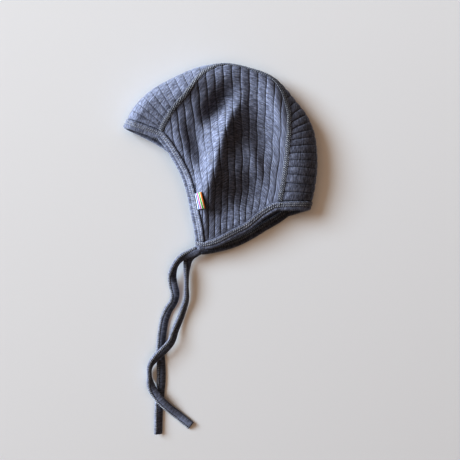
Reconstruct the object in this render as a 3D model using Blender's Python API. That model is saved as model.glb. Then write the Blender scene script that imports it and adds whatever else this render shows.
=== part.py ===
# A knitted baby bonnet lying on its side, its face opening to the left and its two ties loose.
# Two side panels and a centre panel of ribbed knit, a face binding, a neck binding, two ties, a small tag.
# Metres, +Z up. The origin is on the floor, under the middle of the bonnet without its ties.

import math

import bmesh
import bpy
import numpy as np

# Driving dimensions of the bonnet as it lies
LENGTH = 0.200              # from the peak's tip to the back of the head, along X
HEIGHT = 0.196              # from the crown to the chin, along Y
LOFT = 0.038                # from the floor to the middle of the upper side

# Driving dimensions of the cloth
WALL = 0.002                # rib knit
CLEARANCE = 0.0003          # between pieces that touch
SEAM_GAP = 0.0006           # between two panels that are sewn edge to edge
CHANNEL_SLACK = 0.0006      # between the cloth and the leaves of its binding
STRIP_WIDTH = 0.056         # centre panel, seam to seam, where it lies flat
RIB_PITCH = 0.0083
PEAK_RIB_PITCH = 0.0094     # of the centre panel towards its peak
RIB_DEPTH = 0.0008          # of the furrow between two ribs
BINDING_WIDTH = 0.0094
BINDING_LEAF = 0.0010       # one thickness of the folded binding
TIE_WIDTH = 0.0090
TIE_THICKNESS = 0.0022
TAG_LENGTH = 0.0160
TAG_WIDTH = 0.0064
TAG_THICKNESS = 0.0008
TAG_RISE = 0.0007           # of its underside off the cloth
TAG_PLACE = 0.62            # share of the face hem's length, from the peak to the chin

# A panel's edge lies this far inside its binding, and its next row of points just past the binding
EDGE_INSET = BINDING_LEAF + CHANNEL_SLACK
BAND = BINDING_WIDTH + CHANNEL_SLACK

# Heights of the upper side, as shares of LOFT
HEM_HEIGHT = 0.61           # of the upper hem above the origin
HEM_RISE_BACK = 0.23        # more of it for each LENGTH towards the back
HEM_RISE_CROWN = 0.31       # more of it for each HEIGHT towards the crown
TOP_HEIGHT = 0.86           # of the middle
DOME_REACH = 0.24           # share of HEIGHT in which the middle's height is reached from the hem

# The lower side lies on the floor, on its binding, and its chin stands a little off the floor
HEM_LIFT = BINDING_LEAF + CHANNEL_SLACK
HEM_FLAT = 1.1 * BINDING_WIDTH          # in from the hem, where the cloth starts to sink to the floor
HEM_SINK = 2.4 * BINDING_WIDTH          # and where it has reached the floor
CHIN_LIFT = 0.13            # share of LOFT
CHIN_LIFT_REACH = 0.30      # share of HEIGHT

# Cross-sections of the centre panel along the outline, from the peak over the crown to the nape.
# x and y are shares of LENGTH and HEIGHT, apex and the rolls of LOFT, the insets of STRIP_WIDTH.
# The apex is the outline's height off the floor. An inset is a seam's distance from the outline.
SECTION_COLUMNS = ("x", "y", "apex", "upper_inset", "lower_inset", "upper_roll", "lower_roll")
SECTIONS = {
    "peak_edge":   (-0.4940, 0.167, 0.30, 0.68, 0.32, 0.32, 0.30),
    "peak_rise":   (-0.452, 0.259, 0.30, 0.67, 0.32, 0.34, 0.30),
    "peak":        (-0.357, 0.360, 0.32, 0.60, 0.32, 0.42, 0.34),
    "brow":        (-0.236, 0.430, 0.38, 0.45, 0.35, 0.52, 0.38),
    "crown_front": (-0.090, 0.487, 0.46, 0.15, 0.44, 0.62, 0.42),
    "crown_top":   (0.030, 0.498, 0.50, 0.00, 0.50, 0.64, 0.45),
    "crown":       (0.152, 0.474, 0.50, 0.00, 0.50, 0.64, 0.45),
    "crown_back":  (0.280, 0.422, 0.48, 0.030, 0.47, 0.66, 0.44),
    "upper_back":  (0.394, 0.299, 0.44, 0.235, 0.42, 0.72, 0.42),
    "back_turn":   (0.438, 0.242, 0.42, 0.395, 0.39, 0.76, 0.41),
    "back_bend":   (0.470, 0.182, 0.40, 0.477, 0.37, 0.80, 0.40),
    "back":        (0.499, 0.017, 0.38, 0.582, 0.34, 0.80, 0.38),
    "nape":        (0.489, -0.141, 0.36, 0.609, 0.34, 0.76, 0.36),
    "nape_edge":   (0.460, -0.264, 0.34, 0.588, 0.34, 0.70, 0.34),
}

# How far the hem runs past the end section at each seam, as shares of STRIP_WIDTH
PEAK_OVERRUN = {"upper": -0.05, "lower": 0.00}
NAPE_OVERRUN = {"upper": 0.16, "lower": 0.19}

# Hems of the side panels between the centre panel's seams, as shares of LENGTH and HEIGHT
PLAN_COLUMNS = ("x", "y")
FACE_HEM = {
    "upper": [(-0.286, 0.069), (-0.255, 0.021), (-0.227, -0.027), (-0.193, -0.097), (-0.167, -0.185),
              (-0.150, -0.273), (-0.1325, -0.361), (-0.122, -0.435)],
    "lower": [(-0.330, 0.085), (-0.260, 0.034), (-0.205, -0.050), (-0.165, -0.155), (-0.142, -0.275),
              (-0.128, -0.385), (-0.122, -0.455)],
}
CHIN = {"upper": (-0.122, -0.474), "lower": (-0.112, -0.498)}
NECK_HEM = {
    "upper": [(-0.070, -0.471), (-0.021, -0.458), (0.083, -0.406), (0.152, -0.370), (0.238, -0.300)],
    "lower": [(-0.075, -0.496), (-0.021, -0.485), (0.066, -0.462), (0.152, -0.423), (0.238, -0.370),
              (0.315, -0.324)],
}

# Folds of the upper side, long soft swellings and dents. x and y are the middle as shares of LENGTH
# and HEIGHT, length and width half of each as shares of LENGTH, slant in degrees from +X, and height
# a share of LOFT, below zero for a dent.
FOLD_COLUMNS = ("x", "y", "length", "width", "slant", "height")
FOLDS = {
    "seam_ridge":   (-0.165, 0.350, 0.150, 0.038, 43, 0.08),
    "front_valley": (0.005, 0.280, 0.130, 0.056, 50, -0.31),
    "main_ridge":   (0.026, 0.135, 0.130, 0.047, 75, 0.24),
    "low_ridge":    (-0.062, -0.110, 0.125, 0.052, 76, 0.27),
    "main_valley":  (0.195, 0.143, 0.190, 0.095, 90, -0.24),
    "low_dent":     (0.140, -0.165, 0.120, 0.090, 25, -0.32),
    "chin_dent":    (0.020, -0.270, 0.080, 0.062, 0, -0.16),
    "seam_crest":   (0.335, 0.228, 0.150, 0.045, 90, 0.06),
    "face_valley":  (-0.130, 0.065, 0.125, 0.045, 112, -0.20),
}

# Shape of the cloth near its edges
HEM_FOLD_SHARE = 0.35       # share of a fold's height that is left at the hem
FOLD_REACH = 2 * BINDING_WIDTH          # from the hem to where a fold has its full height
FIRST_RIB = (-0.134 * LENGTH, 0.24 * HEIGHT)    # a point on the rib from which the others are counted
FIRST_RIB_SLANT = 0.12      # of that rib, towards the back for each length downwards
FIRST_RIB_FOOT = -0.16 * HEIGHT         # below this it is upright
RIB_LEAN = 0.10             # lean of the ribs above the back seam, towards the back
SKEW_REACH = 4 * RIB_PITCH  # length in which the centre panel's ribs turn from its hem's direction
PITCH_CHANGE = (0.30, 0.55)             # shares of the outline between which its ribs come closer
CHIN_CLEAR = 1.3 * BAND     # hem stations closer to the chin than this are left out
BINDING_CROWN = 0.75        # height of a leaf's middle, as a share of its thickness
TIE_EDGE = 0.4              # thickness of a tie's edge, as a share of its middle's

# Mesh densities
FINE_STEP = 0.0005          # between the outline's points, and for slopes
HEM_STEP = 0.001
EXTENSION = 0.060           # the outline's straight length past either end
HEM_SAMPLES = 24
RIB_SAMPLES = 90
STRIP_SAMPLES = 600
SECTION_SAMPLES = 40
RIB_POINTS = 3              # across each rib: the furrow and two shoulders
UPPER_ROWS = 12
LOWER_ROWS = 6
STRIP_STEPS = 8
BINDING_STEP = 0.0080
TURN_WEIGHT = 0.016         # length that a turn of one radian counts for when points are spread
TIE_STEPS = 42
TAG_STATIONS = 7
TAG_COURSES = 4

# Ties: points chosen by hand, in metres. lift is the band's lowest edge above the floor,
# and roll, in degrees, raises the right-hand edge where it is below zero.
ROUTE_COLUMNS = ("x", "y", "lift", "roll")
TIE_ROUTES = {
    "tie_upper": [
        (-0.0252, -0.0878, 0.0130, -4), (-0.0300, -0.0880, 0.0112, -14), (-0.0368, -0.0908, 0.0096, -36),
        (-0.0443, -0.0984, 0.0084, -52), (-0.0492, -0.1098, 0.0068, -46), (-0.0510, -0.1217, 0.0050, -22),
        (-0.0487, -0.1321, 0.0030, -15), (-0.0470, -0.1414, 0.0014, -42), (-0.0512, -0.1508, 0.0004, -35),
        (-0.0570, -0.1602, 0.0002, -20), (-0.0608, -0.1726, 0.0002, -15), (-0.0622, -0.1862, 0.0002, -16),
        (-0.0619, -0.1986, 0.0002, -16), (-0.0610, -0.2122, 0.0002, -18), (-0.0610, -0.2278, 0.0002, -14),
        (-0.0624, -0.2434, 0.0002, -12), (-0.0634, -0.2590, 0.0002, -26), (-0.0640, -0.2829, 0.0002, -35),
    ],
    "tie_lower": [
        (-0.0250, -0.0930, 0.0063, 0), (-0.0294, -0.0950, 0.0058, -4), (-0.0324, -0.1006, 0.0050, -14),
        (-0.0342, -0.1110, 0.0044, -50), (-0.0346, -0.1280, 0.0036, -75), (-0.0343, -0.1446, 0.0020, -60),
        (-0.0364, -0.1550, 0.0012, -50), (-0.0390, -0.1654, 0.0012, -45), (-0.0437, -0.1760, 0.0030, -40),
        (-0.0505, -0.1870, 0.0060, -30), (-0.0578, -0.1955, 0.0072, -20), (-0.0650, -0.2024, 0.0066, -30),
        (-0.0722, -0.2128, 0.0030, -64), (-0.0730, -0.2226, 0.0014, -74), (-0.0703, -0.2345, 0.0052, -24),
        (-0.0632, -0.2450, 0.0064, 5), (-0.0540, -0.2548, 0.0036, 12), (-0.0447, -0.2626, 0.0008, 14),
        (-0.0302, -0.2746, 0.0002, 14),
    ],
}

SIDES = ("upper", "lower")
KNIT_BLUE = (0.115, 0.135, 0.215, 1.0)
KNIT_SHADE = (0.085, 0.098, 0.150, 1.0)
KNIT_DARK = (0.060, 0.066, 0.095, 1.0)
TAG_WHITE = (0.780, 0.780, 0.760, 1.0)
CLOTH_ROUGHNESS = 0.95


def columns_of(rows, names):
    """A table's columns by name."""
    return dict(zip(names, np.array(list(rows), float).T))


def smooth(at, knots, values):
    """Values on a smooth curve through a table's rows."""
    values = np.asarray(values, float)
    slope = np.gradient(values, knots, axis=0)
    at = np.clip(at, knots[0], knots[-1])
    index = np.clip(np.searchsorted(knots, at) - 1, 0, len(knots) - 2)
    step = knots[index + 1] - knots[index]
    u = (at - knots[index]) / step
    if values.ndim == 2:
        u = u[:, None]
        step = step[:, None]
    start = (2 * u**3 - 3 * u**2 + 1) * values[index] + (u**3 - 2 * u**2 + u) * step * slope[index]
    end = (3 * u**2 - 2 * u**3) * values[index + 1] + (u**3 - u**2) * step * slope[index + 1]
    return start + end


def unit(vectors):
    return vectors / np.linalg.norm(vectors, axis=-1, keepdims=True)


def run_lengths(points):
    """Length along a row of points, from 0."""
    return np.concatenate(([0.0], np.cumsum(np.linalg.norm(np.diff(points, axis=0), axis=1))))


def smooth_run(points, step):
    """Close points on a smooth curve through a few chosen ones."""
    points = np.asarray(points, float)
    knots = run_lengths(points)
    count = max(2, int(round(knots[-1] / step)) + 1)
    return smooth(np.linspace(0, knots[-1], count), knots, points)


def left_of(direction):
    return np.stack((-direction[..., 1], direction[..., 0]), axis=-1)


def ease(u):
    u = np.clip(u, 0, 1)
    return u * u * (3 - 2 * u)


def spread(points, count, weight=TURN_WEIGHT):
    """Indices (with fractions) that spread count + 1 stations by length and by turn."""
    steps = np.diff(points, axis=0)
    lengths = np.linalg.norm(steps, axis=1)
    dirs = steps / np.maximum(lengths, 1e-9)[:, None]
    turns = np.arccos(np.clip(np.sum(dirs[1:] * dirs[:-1], axis=1), -1, 1))
    turns[(lengths[1:] < 1e-7) | (lengths[:-1] < 1e-7)] = 0
    costs = lengths + weight * 0.5 * (np.append(turns, 0) + np.insert(turns, 0, 0))
    total = np.concatenate(([0.0], np.cumsum(costs)))
    return np.interp(np.linspace(0, total[-1], count + 1), total, np.arange(len(points)))


def pick(rows, index):
    """Rows of an array at fractional indices."""
    low = np.clip(np.floor(index).astype(int), 0, len(rows) - 2)
    part = (index - low)[:, None]
    return rows[low] * (1 - part) + rows[low + 1] * part


class Outline:
    """The bonnet's outline in plan, which is the centre panel's middle fold."""

    def __init__(self):
        size = dict(zip(SECTION_COLUMNS, (LENGTH, HEIGHT, LOFT, STRIP_WIDTH, STRIP_WIDTH, LOFT, LOFT)))
        shares = columns_of(SECTIONS.values(), SECTION_COLUMNS)
        self.columns = {name: shares[name] * size[name] for name in SECTION_COLUMNS}
        chosen = np.stack((self.columns["x"], self.columns["y"]), axis=1)
        self.knots = run_lengths(chosen)
        count = int(round(self.knots[-1] / FINE_STEP)) + 1
        self.param = np.linspace(0, self.knots[-1], count)
        self.points = smooth(self.param, self.knots, chosen)
        self.run = run_lengths(self.points)
        self.length = self.run[-1]
        self.dirs = unit(np.gradient(self.points, axis=0))
        start = self.points[0] - self.dirs[0] * EXTENSION
        end = self.points[-1] + self.dirs[-1] * EXTENSION
        self.long_points = np.vstack((start, self.points, end))
        self.long_run = np.concatenate(([-EXTENSION], self.run, [self.length + EXTENSION]))

    def value(self, name, s):
        """A column of the section table at a length along the outline."""
        at = np.interp(s, self.run, self.param)
        return np.maximum(smooth(at, self.knots, self.columns[name]), 0)

    def place(self, s):
        """Plan points and directions at lengths along the outline, straight past its ends."""
        points = np.stack([np.interp(s, self.long_run, self.long_points[:, i]) for i in (0, 1)], axis=-1)
        dirs = unit(np.stack([np.interp(s, self.run, self.dirs[:, i]) for i in (0, 1)], axis=-1))
        return points, dirs

    def nearest(self, xy):
        """Length along the outline of the nearest point, and the distance to it."""
        return nearest_on(xy, self.long_points, self.long_run)


def nearest_on(xy, line, run):
    """Nearest place on a polyline for each plan point: its run length and distance."""
    start = line[:-1]
    step = np.diff(line, axis=0)
    square = np.sum(step * step, axis=1)
    along = np.empty(len(xy))
    away = np.empty(len(xy))
    for i, point in enumerate(xy):
        share = np.clip(np.sum((point - start) * step, axis=1) / square, 0, 1)
        gap = start + share[:, None] * step - point
        distance = np.einsum("ij,ij->i", gap, gap)
        best = np.argmin(distance)
        away[i] = math.sqrt(distance[best])
        along[i] = run[best] + share[best] * (run[best + 1] - run[best])
    return along, away


OUTLINE = Outline()


def strip_end(side, peak, inset):
    """Length along the outline of the centre panel's hem, at a distance from the middle fold."""
    if peak:
        edge = PEAK_OVERRUN[side] * STRIP_WIDTH
        return -edge * inset / OUTLINE.value(side + "_inset", np.zeros(1))[0]
    edge = NAPE_OVERRUN[side] * STRIP_WIDTH
    full = OUTLINE.value(side + "_inset", np.array([OUTLINE.length]))[0]
    return OUTLINE.length + edge * inset / full


def seam_plan(side, s):
    """Plan points of the seam between the centre panel and a side panel."""
    points, dirs = OUTLINE.place(s)
    return points - left_of(dirs) * OUTLINE.value(side + "_inset", s)[:, None]


def seam_range(side):
    """Lengths along the outline between which a seam runs, hem to hem."""
    first = OUTLINE.value(side + "_inset", np.zeros(1))
    last = OUTLINE.value(side + "_inset", np.array([OUTLINE.length]))
    return strip_end(side, True, first)[0], strip_end(side, False, last)[0]


def seam_line(side):
    start, end = seam_range(side)
    inner = OUTLINE.run[(OUTLINE.run > start + 1e-6) & (OUTLINE.run < end - 1e-6)]
    return seam_plan(side, np.concatenate(([start], inner, [end])))


def plan_points(rows):
    """Plan points from rows of shares."""
    shares = columns_of(rows, PLAN_COLUMNS)
    return np.stack((shares["x"] * LENGTH, shares["y"] * HEIGHT), axis=1)


def hem_line(side):
    """A side panel's hem in plan: the face edge down to the chin, and the neck edge to the nape."""
    seam = seam_line(side)
    chin = plan_points([CHIN[side]])
    face = np.vstack((seam[0], plan_points(FACE_HEM[side]), chin))
    neck = np.vstack((chin, plan_points(NECK_HEM[side]), seam[-1]))
    return smooth_run(face, HEM_STEP), smooth_run(neck, HEM_STEP)


def strip_hem(side, peak):
    """The centre panel's hem on one side, from the middle fold to the seam: run lengths and distances."""
    end = 0.0 if peak else OUTLINE.length
    inset = np.linspace(0, OUTLINE.value(side + "_inset", np.array([end]))[0], HEM_SAMPLES)
    return strip_end(side, peak, inset), inset


def strip_plan(s, distance):
    points, dirs = OUTLINE.place(s)
    return points - left_of(dirs) * distance[:, None]


SEAMS = {side: seam_line(side) for side in SIDES}
HEMS = {side: hem_line(side) for side in SIDES}
OPENINGS = {}               # whole hems of the face and neck openings, with the centre panel's share
for side in SIDES:
    face_part = np.vstack((strip_plan(*strip_hem(side, True)), HEMS[side][0][1:]))
    neck_part = np.vstack((HEMS[side][1], strip_plan(*strip_hem(side, False))[::-1][1:]))
    OPENINGS[side] = (face_part, neck_part)


def fold_height(xy):
    """Height that the folds add to the upper side."""
    total = np.zeros(len(xy))
    for row in FOLDS.values():
        fold = dict(zip(FOLD_COLUMNS, row))
        gap = xy - plan_points([(fold["x"], fold["y"])])
        turn = math.radians(fold["slant"])
        along = (gap[:, 0] * math.cos(turn) + gap[:, 1] * math.sin(turn)) / (fold["length"] * LENGTH)
        across = (gap[:, 1] * math.cos(turn) - gap[:, 0] * math.sin(turn)) / (fold["width"] * LENGTH)
        total += fold["height"] * LOFT * np.exp(-along**2 - across**2)
    return total


def hem_distances(side, xy):
    """Distances of plan points from the face hem and from the neck hem."""
    return [nearest_on(xy, line, run_lengths(line))[1] for line in OPENINGS[side]]


def upper_level(xy):
    """Height of the upper side away from its outline."""
    distances = hem_distances("upper", xy)
    hem = HEM_HEIGHT + HEM_RISE_BACK * xy[:, 0] / LENGTH + HEM_RISE_CROWN * xy[:, 1] / HEIGHT
    dome = 1.0
    for distance in distances:
        dome = dome * np.sin(np.clip(distance / (DOME_REACH * HEIGHT), 0, 1) * math.pi / 2)
    share = HEM_FOLD_SHARE + (1 - HEM_FOLD_SHARE) * ease(np.minimum(*distances) / FOLD_REACH)
    return LOFT * (hem + (TOP_HEIGHT - hem) * dome) + fold_height(xy) * share


def lower_level(xy):
    """Height of the lower side away from its outline: on its binding, else on the floor."""
    distance = np.minimum(*hem_distances("lower", xy))
    off_hem = ease((distance - HEM_FLAT) / (HEM_SINK - HEM_FLAT))
    chin = plan_points([CHIN["lower"]])
    off_chin = ease(np.linalg.norm(xy - chin, axis=1) / (CHIN_LIFT_REACH * HEIGHT))
    return HEM_LIFT * (1 - off_hem) + CHIN_LIFT * LOFT * (1 - off_chin)


LEVELS = {"upper": upper_level, "lower": lower_level}


def cloth(side, s, distance, xy=None):
    """Points of the outer face and its outward normals, at distances in from the outline."""
    points, dirs = OUTLINE.place(s)
    inward = -left_of(dirs)
    if xy is None:
        xy = points + inward * distance[:, None]
    level = LEVELS[side]
    height = level(xy)
    slope_x = (level(xy + (FINE_STEP, 0)) - level(xy - (FINE_STEP, 0))) / (2 * FINE_STEP)
    slope_y = (level(xy + (0, FINE_STEP)) - level(xy - (0, FINE_STEP))) / (2 * FINE_STEP)
    apex = OUTLINE.value("apex", s)
    roll = OUTLINE.value(side + "_roll", s)
    u = np.minimum(distance / roll, 1)
    cos = 1 - u
    sin = np.sqrt(1 - cos * cos)
    rise = height - apex
    z = apex + rise * sin
    tilt = np.stack((slope_x, slope_y), axis=1)
    lean = -(rise / roll * cos)[:, None] * inward - (sin * sin)[:, None] * tilt
    normal = unit(np.column_stack((lean, sin)))
    if side == "lower":
        normal = -normal
    return np.column_stack((xy, z)), normal


def cloth_at(side, xy):
    s, distance = OUTLINE.nearest(xy)
    return cloth(side, s, distance, xy)


def back_seam(side):
    """The seam's back stretch as x by y, and its straight continuation above and below."""
    seam = SEAMS[side]
    back = seam[np.argmax(seam[:, 0]):]
    return back[::-1, 1], back[::-1, 0]


def first_rib(y_at):
    """The rib from which the others are counted: its x at given y."""
    return FIRST_RIB[0] + FIRST_RIB_SLANT * (FIRST_RIB[1] - np.maximum(y_at, FIRST_RIB_FOOT))


def last_rib(side, y_at):
    """The rib along the back seam: its x at given y."""
    y, x = back_seam(side)
    return np.interp(y_at, y, x) + RIB_LEAN * np.maximum(y_at - y[-1], 0)


def rib_place(side, xy):
    """Where a plan point lies among the ribs: 0 on the first one, 1 along the back seam."""
    first = first_rib(xy[:, 1])
    return (xy[:, 0] - first) / (last_rib(side, xy[:, 1]) - first)


def rib_point(side, place, y_at):
    first = first_rib(y_at)
    return np.stack((first + place * (last_rib(side, y_at) - first), y_at), axis=1)


def rib_count(side):
    return int(round((back_seam(side)[1].max() - FIRST_RIB[0]) / RIB_PITCH))


def rising(values):
    """The entries of a row that each exceed all before them."""
    keep = [0]
    for i in range(1, len(values)):
        if values[i] > values[keep[-1]] + 1e-6:
            keep.append(i)
    return np.array(keep)


def hem_inward(line):
    return left_of(unit(np.gradient(line, axis=0)))


def hem_rows(side):
    """Plan lines of a side panel's first two rows: its edge inside the binding, and past the binding."""
    face, neck = HEMS[side]
    face_in, neck_in = hem_inward(face), hem_inward(neck)
    keep_face = np.linalg.norm(face - face[-1], axis=1) > CHIN_CLEAR
    keep_neck = np.linalg.norm(neck - neck[0], axis=1) > CHIN_CLEAR
    seam_start, seam_end = seam_range(side)
    rows = []
    for inset in (EDGE_INSET, BAND):
        corner = face[-1] + inset * (face_in[-1] + neck_in[0])
        first = seam_plan(side, np.array([seam_start + inset]))
        last = seam_plan(side, np.array([seam_end - inset]))
        rows.append(np.vstack((first, (face + inset * face_in)[keep_face], corner,
                               (neck + inset * neck_in)[keep_neck], last)))
    return rows[0], rows[1], 1 + int(keep_face.sum())


def at_place(place, places, keep, line):
    """The plan point of a line at a rib place."""
    return np.array([np.interp(place, places[keep], line[keep, i]) for i in (0, 1)])


def column_places(side, edge, places, keep, chin):
    """Rib places of a side panel's columns: each rib's furrow and shoulders, the chin, and close enough
    together along the hem."""
    ribs = rib_count(side)
    steps = np.arange(math.ceil(places[0] * ribs * RIB_POINTS + 0.2), ribs * RIB_POINTS + 1)
    columns = np.insert(steps / (ribs * RIB_POINTS), 0, places[0])
    columns[np.argmin(abs(columns - places[chin]))] = places[chin]
    full = [columns[0]]
    for place in columns[1:]:
        span = at_place(place, places, keep, edge) - at_place(full[-1], places, keep, edge)
        parts = int(math.ceil(np.linalg.norm(span) / BINDING_STEP))
        full.extend(np.linspace(full[-1], place, parts + 1)[1:])
    return np.array(full), int(np.argmin(abs(np.array(full) - places[chin])))


def furrow_share(phase):
    """How deep the knit lies within a rib: 1 in the furrow, 0 on the flat crown between the shoulders."""
    return np.maximum(1 - RIB_POINTS * np.minimum(phase % 1, 1 - phase % 1), 0)


def side_panel_grid(side, rows):
    """Outer points and normals of a side panel, a column for each rib place, and the chin's column."""
    edge, band, chin = hem_rows(side)
    seam = SEAMS[side]
    band_places = rib_place(side, band)
    seam_places = rib_place(side, seam)
    keep_band = rising(band_places)
    keep_seam = rising(seam_places)
    places, chin_column = column_places(side, edge, band_places, keep_band, chin)
    outer = []
    normal = []
    for place in places:
        foot = at_place(place, band_places, keep_band, edge)
        start = at_place(place, band_places, keep_band, band)
        head = at_place(place, seam_places, keep_seam, seam)
        share = np.linspace(0, 1, RIB_SAMPLES)[:, None]
        line = rib_point(side, place, start[1] + share[:, 0] * (head[1] - start[1]))
        line = line + (1 - share) * (start - line[0]) + share * (head - line[-1])
        points, normals = cloth_at(side, np.vstack((foot, line)))
        run = run_lengths(points[1:])
        fade = ease(run / RIB_PITCH) * ease((run[-1] - run) / RIB_PITCH)
        depth = RIB_DEPTH * furrow_share(np.array(place * rib_count(side))) * fade
        points[1:] -= normals[1:] * depth[:, None]
        index = 1 + spread(points[1:], rows - 1)
        outer.append(np.vstack((points[:1], pick(points, index))))
        normal.append(unit(np.vstack((normals[:1], pick(normals, index)))))
    return np.array(outer), np.array(normal), chin_column


def strip_ribs():
    """Lengths along the outline of the centre panel's furrows and shoulders, and their rib numbers."""
    s = np.linspace(BAND, OUTLINE.length - BAND, STRIP_SAMPLES)
    closer = ease((s / OUTLINE.length - PITCH_CHANGE[0]) / (PITCH_CHANGE[1] - PITCH_CHANGE[0]))
    rate = 1 / (PEAK_RIB_PITCH + (RIB_PITCH - PEAK_RIB_PITCH) * closer)
    number = np.concatenate(([0.0], np.cumsum((rate[1:] + rate[:-1]) / 2 * np.diff(s))))
    ribs = int(round(number[-1]))
    numbers = np.arange(ribs * RIB_POINTS + 1) / RIB_POINTS
    return np.interp(numbers * number[-1] / ribs, number, s), numbers


def centre_panel_grid():
    """Outer points and normals of the centre panel, a section for each place on its ribs."""
    ribbed, numbers = strip_ribs()
    places = np.concatenate(([EDGE_INSET], ribbed, [OUTLINE.length - EDGE_INSET]))
    numbers = np.concatenate(([0.0], numbers, numbers[-1:]))
    outer = []
    normal = []
    for s, number in zip(places, numbers):
        part = {}
        near_peak = 1 - ease((s - BAND) / SKEW_REACH)
        near_nape = 1 - ease((OUTLINE.length - BAND - s) / SKEW_REACH)
        for side in SIDES:
            inset = OUTLINE.value(side + "_inset", np.array([s]))[0]
            distance = inset * (1 - np.cos(np.linspace(0, math.pi / 2, SECTION_SAMPLES)))
            skew = near_peak * strip_end(side, True, distance)
            skew = skew + near_nape * (strip_end(side, False, distance) - OUTLINE.length)
            part[side] = cloth(side, s + skew, distance)
        points = np.vstack((part["upper"][0][::-1], part["lower"][0][1:]))
        normals = np.vstack((part["upper"][1][::-1], part["lower"][1][1:]))
        run = run_lengths(points)
        sides = ease(run / RIB_PITCH) * ease((run[-1] - run) / RIB_PITCH)
        ends = (1 - near_peak**4) * (1 - near_nape**4)
        depth = RIB_DEPTH * furrow_share(number) * sides * ends
        points = points - normals * depth[:, None]
        kept = np.interp((SEAM_GAP, run[-1] - SEAM_GAP), run, np.arange(len(run)))
        between = np.arange(math.ceil(kept[0] + 1e-6), math.floor(kept[1] - 1e-6) + 1)
        index = np.concatenate((kept[:1], between, kept[1:]))
        points = pick(points, index)
        normals = pick(normals, index)
        index = spread(points, STRIP_STEPS)
        outer.append(pick(points, index))
        normal.append(unit(pick(normals, index)))
    return np.array(outer), np.array(normal)


def make_object(name, vertices, faces, colour):
    """One closed solid, with its own material."""
    mesh = bpy.data.meshes.new(name)
    mesh.from_pydata([tuple(v) for v in vertices], [], [tuple(f) for f in faces])
    bm = bmesh.new()
    bm.from_mesh(mesh)
    bmesh.ops.remove_doubles(bm, verts=bm.verts, dist=2e-6)
    bmesh.ops.triangulate(bm, faces=bm.faces)
    bmesh.ops.recalc_face_normals(bm, faces=bm.faces)
    bm.to_mesh(mesh)
    bm.free()
    mesh.shade_smooth()
    material = bpy.data.materials.new(name)
    material.use_nodes = True
    shader = material.node_tree.nodes["Principled BSDF"]
    shader.inputs["Base Color"].default_value = colour
    shader.inputs["Roughness"].default_value = CLOTH_ROUGHNESS
    shader.inputs["Metallic"].default_value = 0.0
    mesh.materials.append(material)
    bpy.context.collection.objects.link(bpy.data.objects.new(name, mesh))


def sheet_solid(name, outer, normal, colour):
    """A sheet of cloth with its thickness to the inside, from a grid of its outer face."""
    inner = outer - normal * WALL
    columns, rows = outer.shape[:2]
    vertices = np.concatenate((outer.reshape(-1, 3), inner.reshape(-1, 3)))
    faces = []
    back = columns * rows
    for i in range(columns - 1):
        for j in range(rows - 1):
            a, b = i * rows + j, (i + 1) * rows + j
            faces.append((a, b, b + 1, a + 1))
            faces.append((back + a, back + a + 1, back + b + 1, back + b))
    border = [i * rows for i in range(columns)]
    border += [(columns - 1) * rows + j for j in range(1, rows)]
    border += [i * rows + rows - 1 for i in range(columns - 2, -1, -1)]
    border += list(range(rows - 2, 0, -1))
    for here, after in zip(border, border[1:] + border[:1]):
        faces.append((here, back + here, back + after, after))
    make_object(name, vertices, faces, colour)


def swept_solid(name, rings, colour):
    """A closed solid through rings of equal count."""
    count = len(rings[0])
    vertices = np.concatenate(rings)
    faces = []
    for i in range(len(rings) - 1):
        for j in range(count):
            k = (j + 1) % count
            faces.append((i * count + j, i * count + k, (i + 1) * count + k, (i + 1) * count + j))
    faces.append(tuple(range(count))[::-1])
    faces.append(tuple((len(rings) - 1) * count + j for j in range(count)))
    make_object(name, vertices, faces, colour)


def beside_chin(points, normals, chin, step):
    """The place on a side panel's edge just past a binding's width from its chin, along one opening."""
    order = np.arange(chin, len(points)) if step > 0 else np.arange(chin, -1, -1)
    run = run_lengths(points[order])
    index = np.interp([BAND - EDGE_INSET], run, np.arange(len(order)))
    return pick(points[order], index)[0], unit(pick(normals[order], index)[0])


def side_rings(grid, opening):
    """Rings of a binding along one side panel, from its chin: edge and band points with their normals."""
    outer, normal, chin = grid
    face_place = beside_chin(outer[:, 0], normal[:, 0], chin, -1)
    neck_place = beside_chin(outer[:, 0], normal[:, 0], chin, 1)
    corner = (outer[chin, 1], normal[chin, 1])
    if opening == "face":
        rings = [(face_place, corner)]
        columns = range(chin - 1, -1, -1)
    else:
        out = unit(face_place[0] - corner[0]) * EDGE_INSET
        rings = [((outer[chin, 0] + out, normal[chin, 0]), (face_place[0] + out, face_place[1]))]
        rings.append(((outer[chin, 0], normal[chin, 0]), corner))
        rings.append((neck_place, corner))
        columns = range(chin + 1, len(outer))
    crowded = 0.5 * BINDING_STEP
    spaced = 0.9 * BINDING_STEP
    for k in columns:
        apart = np.linalg.norm(outer[k, 0] - rings[-1][0][0])
        last = k == columns[-1]
        if last and apart < crowded:
            rings.pop()
        if last or apart > spaced:
            rings.append(((outer[k, 0], normal[k, 0]), (outer[k, 1], normal[k, 1])))
    return rings


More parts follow.
